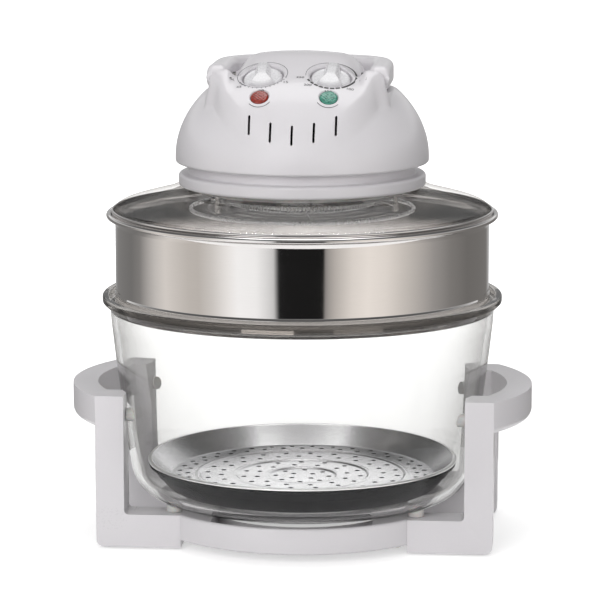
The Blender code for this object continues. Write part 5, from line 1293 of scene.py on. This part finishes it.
def makeSideFrame(side, sign):
    s = baseShape
    top, front = s.top, s.front
    legOutline = [
        (s.innerX, s.railLow), (s.outerX, s.railLow, 6), (s.outerX, top),
        (s.outerX - s.post, top), (s.outerX - s.post, stack.railTop, 3.5), (s.innerX, stack.railTop),
    ]
    legOutline = roundCorners(legOutline, closed=True)
    legs = []
    for name, y0, y1 in (("front", -front, -front + s.leg), ("rear", front - s.leg, front)):
        legs.append(slab(side + name, legOutline, y0, y1, plane="XZ"))
    radius = (front ** 2 + s.bulge ** 2) / (2 * s.bulge)
    centre = s.outerX + s.bulge - radius
    inner = radius - s.barWidth
    reach, innerReach = math.degrees(math.asin(front / radius)), math.degrees(math.asin(front / inner))
    outer = arcPoints((centre, 0), radius, -reach, reach, 48)
    clip = s.outerX - s.post + 0.3 * mm
    inner = [(max(x, clip), y) for x, y in arcPoints((centre, 0), inner, innerReach, -innerReach, 48)]
    low = top - s.barHeight
    loops = []
    for turn in (90, 75, 60, 45, 30, 15, 0, None):  # round at the outer lower edge
        lean = s.barRound * (1 - math.cos(math.radians(turn or 0)))
        lift = s.barRound * (1 - math.sin(math.radians(turn or 0)))
        away, level = (radius - lean) / radius, top if turn is None else low + lift
        loops.append([(centre + (x - centre) * away, y * away, level) for x, y in outer])
        loops[-1] += [(x, y, level) for x, y in inner]
    bar = loft(side + "bar", loops)
    piece = legs[0]
    piece.name = piece.data.name = side + "SideFrame"
    piece.data.materials.append(looks["housing"])
    combine(piece, [legs[1], bar], "UNION")
    shape = bmesh.new()
    shape.from_mesh(piece.data)
    bmesh.ops.remove_doubles(shape, verts=shape.verts, dist=0.00002)
    bmesh.ops.dissolve_limit(shape, angle_limit=math.radians(1.0), verts=shape.verts, edges=shape.edges)
    shape.to_mesh(piece.data)
    shape.free()

    def soft(spot):
        if spot.z > top - 0.5 * mm:
            return 0.8
        if abs(spot.x - s.innerX) < 1 * mm:
            return 0.0
        crease = abs(spot.x - s.outerX) < 1 * mm and abs(spot.y) > front - 1 * mm and spot.z > low
        return 1.0 if crease else 0.42

    roundEdges(piece, s.soft, 5, 40, soft)
    if sign < 0:
        place(piece, Matrix.Scale(-1, 4, Vector((1, 0, 0))))
        piece.data.flip_normals()
    tools = [bowlTool(s.toBowl)]
    tongues = []
    near, far = sorted((sign * (s.innerX - 17 * mm), sign * (s.innerX + 5 * mm)))
    for y in (s.leg / 2 - front, front - s.leg / 2):
        tongues.append(boxTool("tongue", (near, y - 6 * mm, 5.9 * mm), (far, y + 6 * mm, 7.7 * mm)))
        x = sign * (s.innerX - s.screwIn)
        tools.append(crossBar("tongueHole", (x, y, 0), (x, y, 8 * mm), s.screwHole))
    combine(piece, tongues, "UNION")
    combine(piece, tools, "DIFFERENCE")
    wear(piece, "base", "housing", side + "_side_frame")


def makeBaseRing():
    s = baseShape
    low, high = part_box("base_ring")
    outline = roundCorners([
        (s.ringInner, low.z, 1.2), (s.ringOuter, low.z, 2.2), (s.ringOuter, high.z, 2.2),
        (s.ringInner, high.z, 1.5)], closed=True)
    piece = lathe("baseRing", outline, looks["housing"], 176)
    above, floor = high.z + 1 * mm, high.z - s.troughDepth
    trough = roundCorners([
        (s.ringOuter - 2.5 * mm, above), (s.ringOuter - 2.5 * mm, floor, 2),
        (s.ringInner + 3 * mm, floor, 2), (s.ringInner - 2 * mm, high.z - 6 * mm),
        (s.ringInner - 2 * mm, above)], closed=True)
    trough = lathe("trough", trough, None, 176)
    between = boxTool("between", (-s.troughReach, -0.3, 0), (s.troughReach, 0.3, 0.06))
    tools = [combine(trough, [between], "INTERSECT")]
    for sign in (-1, 1):
        near, far = sorted((sign * (s.innerX - 0.02 * mm), sign * 0.3))
        tools.append(boxTool("trim", (near, -0.3, 0), (far, 0.3, 0.05)))
        for y in (s.leg / 2 - s.front, s.front - s.leg / 2):
            x = sign * (s.innerX - s.screwIn)
            tools.append(crossBar("screwHole", (x, y, low.z - 4 * mm), (x, y, low.z + 9.1 * mm), s.screwHole))
    combine(piece, tools, "DIFFERENCE")
    wear(piece, "base", "housing", "base_ring")


def bowlSideHeight(radius):  # height of the bowl's outer side at a radius
    line = bowlSide(0.3 * mm)
    for (r0, z0), (r1, z1) in zip(line, line[1:]):
        if min(r0, r1) <= radius <= max(r0, r1):
            return z0 + (z1 - z0) * (radius - r0) / (r1 - r0 if r1 != r0 else 1)
    return stack.bowlBottom - 0.3 * mm


def makePad(corner, title):
    low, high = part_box("bowl_pad_" + corner)
    centre = (low + high) / 2
    radius, above = 6.5 * mm, high.z + 4 * mm
    outline = roundCorners([
        (0, low.z), (radius, low.z, 0.8), (radius, above), (radius - 1 * mm, above), (0, above)])
    line = []
    for a, b in zip(outline, outline[1:]):
        line += [(a[0] + (b[0] - a[0]) * n / 6, a[1] + (b[1] - a[1]) * n / 6) for n in range(6)]
    piece = lathe("bowlPad" + title, line + [outline[-1]], looks["pale_silicone"], 40, closed=False)
    padX = math.copysign(baseShape.innerX + 6.8 * mm, centre.x)
    padY = math.copysign(baseShape.front - baseShape.leg / 2, centre.y)
    for vert in piece.data.vertices:
        vert.co.x += padX
        vert.co.y += padY
        vert.co.z = min(vert.co.z, bowlSideHeight(math.hypot(vert.co.x, vert.co.y)))
    wear(piece, "base", "pale_silicone", "bowl_pad_" + corner)


def makeBumper(corner, title):
    low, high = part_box("post_bumper_" + corner)
    centre = (low + high) / 2
    sign = math.copysign(1, centre.x)
    radius, depth = 5.5 * mm, 11 * mm
    outline = roundCorners([(0, 0), (radius, 0, 0.4), (radius, depth, 1.6), (0, depth)])
    piece = lathe("postBumper" + title, outline, looks["pale_silicone"], 36, closed=False)
    face = sign * (baseShape.outerX - baseShape.post - 0.3 * mm)
    place(piece, Matrix.Translation((face, centre.y, centre.z)) @ turned(-90 * sign, "Y"))
    combine(piece, [bowlTool(0.3 * mm)], "DIFFERENCE")
    wear(piece, "base", "pale_silicone", "post_bumper_" + corner)


def makeScrew(corner, title):
    low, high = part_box("frame_screw_" + corner)
    spot = Matrix.Translation(((low.x + high.x) / 2, (low.y + high.y) / 2, 0))
    head, level = 3.2 * mm, low.z + 2.0 * mm
    outline = [
        (0, low.z), (1.6 * mm, low.z, 0.5), (head, low.z + 1.3 * mm, 0.5), (head, level, 0.2),
        (1.5 * mm, level)]
    while level < high.z - 1.2 * mm:  # thread
        outline += [(1.75 * mm, level + 0.35 * mm), (1.35 * mm, level + 0.7 * mm)]
        level += 0.8 * mm
    outline += [(0.2 * mm, high.z), (0, high.z)]
    piece = lathe("frameScrew" + title, roundCorners(outline), looks["wire_steel"], 28, closed=False)
    place(piece, spot)
    tools = []
    for turn in (20, 110):
        tool = boxTool("cross", (-1.6 * mm, -0.35 * mm, low.z - 1 * mm), (1.6 * mm, 0.35 * mm, low.z + 1.0 * mm))
        tools.append(place(tool, spot @ turned(turn)))
    combine(piece, tools, "DIFFERENCE")
    wear(piece, "base", "polished_steel", "frame_screw_" + corner)


makeSideFrame("left", -1)
makeSideFrame("right", 1)
makeBaseRing()
for corner in ("front_left", "front_right", "rear_left", "rear_right"):
    title = "".join(word.capitalize() for word in corner.split("_"))
    makePad(corner, title)
    makeBumper(corner, title)
    makeRound("rubber_foot_" + corner, "rubberFoot" + title, "foot_rubber", "foot_rubber", "base", 0.8, 40)
    makeScrew(corner, title)
print("base done")

# cord gland: a ribbed collar with a thin wall at the inner end of its bore
glandShape = Shape(dict(bore=3.6, wall=1.6, neck=7, flange=9.5))


def makeGland():
    s = glandShape
    low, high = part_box("cord_gland")
    length = high.y - low.y
    outline = [
        (0, s.wall), (s.bore, s.wall, 0.4), (s.bore, length - 0.2 * mm, 0.4),
        (s.flange - 2.2 * mm, length, 0.8), (s.flange, length - 1.6 * mm, 0.8),
        (s.flange, length - 3.3 * mm, 0.3), (s.neck, length - 3.3 * mm)]
    for rib in range(4):
        start, groove = length - 4.4 * mm - rib * 2.0 * mm, s.neck - 0.8 * mm
        outline += [
            (s.neck, start, 0.2), (groove, start - 0.5 * mm, 0.2),
            (groove, start - 1.2 * mm, 0.2), (s.neck, start - 1.6 * mm, 0.2)]
    outline += [(s.neck - 0.6 * mm, 0, 0.4), (0, 0)]
    piece = lathe("cordGland", roundCorners(outline), looks["black_plastic"], 56, closed=False)
    centre = (low + high) / 2
    place(piece, Matrix.Translation((centre.x, low.y, centre.z)) @ turned(-90, "X"))
    wear(piece, "lid", "black_plastic", "cord_gland")


makeGland()

# stage: floor, backdrop, a shell that only reflections see, lamps, world and camera
def warm(level, tint=0.0):
    return (level, level * (1 - tint), level * (1 - 2 * tint))


stageLook = Shape(
    shell=1.36,
    bands=(
        (0.0, warm(0.30)), (0.05, warm(0.33)), (0.09, warm(0.18, 0.02)), (0.17, warm(0.155, 0.02)),
        (0.20, warm(0.205, 0.03)), (0.245, warm(0.52, 0.04)), (0.27, warm(0.64, 0.05)), (0.32, warm(0.495, 0.06)),
        (0.34, warm(0.48, 0.06)), (0.365, warm(0.59, 0.04)), (0.393, warm(0.80, 0.02)), (0.41, warm(0.89)),
        (0.44, warm(0.86)), (0.46, warm(0.66)), (0.4715, warm(0.52)), (0.4735, warm(0.011)),
        (0.5485, warm(0.010)), (0.551, warm(0.28, 0.05)),
        (0.566, warm(0.455, 0.06)), (0.593, warm(0.69, 0.06)), (0.62, warm(0.785, 0.06)), (0.65, warm(0.72, 0.06)),
        (0.68, warm(0.57, 0.06)), (0.745, warm(0.29, 0.04)), (0.785, warm(0.195, 0.04)), (0.835, warm(0.145, 0.04)),
        (0.93, warm(0.155, 0.04)), (0.965, warm(0.40)), (1.0, warm(0.30)),
    ),
    sky=(
        (0.0, warm(1.0)), (0.53, warm(1.0)), (0.60, warm(0.92)), (0.66, warm(0.45)), (0.74, warm(0.16)),
        (0.84, warm(0.11)), (0.93, warm(0.2)), (1.0, warm(0.45)),
    ),
    ambient=0.31,
)


def makeFloor():
    paint = Paint("paleFloor")
    tone = paint.blend(paint.clamp(paint.noise(1.3, 2), 0.3, 0.7), (0.86, 0.86, 0.86), (0.87, 0.87, 0.87))
    away = paint.add("VectorMath", {"operation": "LENGTH"}, {0: paint.spot()}, "Value")
    glow = paint.blend(paint.clamp(away, 0.3, 1.2), (0.5, 0.5, 0.5), (1, 1, 1))
    lit = paint.surface(Base_Color=tone, Roughness=0.7, Emission_Color=glow, Emission_Strength=1.0)
    plain = paint.surface(Base_Color=tone, Roughness=0.7)
    share = paint.ray("Camera", "Glossy", "Transmission")
    paint = paint.finish(paint.add("MixShader", {}, {0: share, 1: plain, 2: lit}))
    slab("floor", [(-40, -40), (40, -40), (40, 40), (-40, 40)], -0.02, -0.0002, paint)


def makeShell():
    paint = Paint("studioShell")
    where = paint.spot()
    x, y = paint.part(where, 0), paint.part(where, 1)
    turn = paint.add("Math", {"operation": "ARCTAN2"}, {0: x, 1: 0 - y}) / math.tau + 0.5  # 0.5 is the front
    bands = paint.add("ValToRGB", {"stops": stageLook.bands}, {"Fac": turn})
    glow = paint.add("Emission", {}, {"Color": bands, "Strength": stageLook.shell})
    material = paint.finish(glow)
    material.cycles.emission_sampling = "NONE"
    outline = [(0.34, 0.0), (3.0, 0.0), (3.0, 0.8)]
    shell = lathe("studioShell", outline, material, 96, closed=False)
    shell.visible_camera = shell.visible_diffuse = shell.visible_transmission = shell.visible_shadow = False


def makeLamps():
    lamps = (
        ("keyLamp", (-0.8, -2.9, 1.5), 1.8, 46, (1.0, 0.995, 0.99)),
        ("fillLamp", (1.8, -2.3, 1.0), 1.6, 9, (1.0, 0.98, 0.96)),
        ("topLamp", (0.0, 0.3, 3.0), 2.0, 28, (1, 1, 1)),
        ("backLamp", (0.4, 3.0, 1.6), 2.4, 16, (0.99, 0.99, 1.0)),
    )
    for name, spot, size, power, tint in lamps:
        data = bpy.data.lights.new(name, "AREA")
        data.shape, data.size, data.energy, data.color = "SQUARE", size, power, tint
        lamp = bpy.data.objects.new(name, data)
        lamp.location = spot
        lamp.visible_glossy = name == "topLamp"
        lamp.rotation_euler = (Vector((0, 0, 0.2)) - Vector(spot)).to_track_quat("-Z", "Y").to_euler()
        bpy.context.scene.collection.objects.link(lamp)


def makeWorld():
    world = bpy.data.worlds.new("studioWorld")
    bpy.context.scene.world = world
    paint = Paint("studioWorld", world)
    height = paint.part(paint.add("TexCoord"), 2) * 0.5 + 0.5
    sky = paint.add("ValToRGB", {"stops": stageLook.sky}, {"Fac": height})
    soft = paint.blend(paint.ray("Glossy", "Transmission"), warm(stageLook.ambient), sky)
    tone = paint.blend(paint.ray("Camera"), soft, (1, 1, 1))
    paint.finish(paint.add("Background", {}, {"Color": tone, "Strength": 1.0}), "World")


cameraShape = Shape(distance=2.6, azimuth=5.0, pitch=9.6, aim=0.1964, lens=186, shift=-2.3 / 600)


def makeCamera():
    s = cameraShape
    data = bpy.data.cameras.new("photoCamera")
    data.lens, data.sensor_width, data.shift_x = s.lens, 36, s.shift
    camera = bpy.data.objects.new("photoCamera", data)
    azimuth, pitch = math.radians(s.azimuth), math.radians(s.pitch)
    away = Vector((math.sin(azimuth) * math.cos(pitch), -math.cos(azimuth) * math.cos(pitch), math.sin(pitch)))
    camera.location = Vector((0, 0, s.aim)) + away * s.distance
    camera.rotation_euler = (-away).to_track_quat("-Z", "Y").to_euler()
    bpy.context.scene.collection.objects.link(camera)
    bpy.context.scene.camera = camera


makeFloor()
makeShell()
makeLamps()
makeWorld()
makeCamera()
bpy.context.scene.view_settings.view_transform = "Standard"
print("stage done")
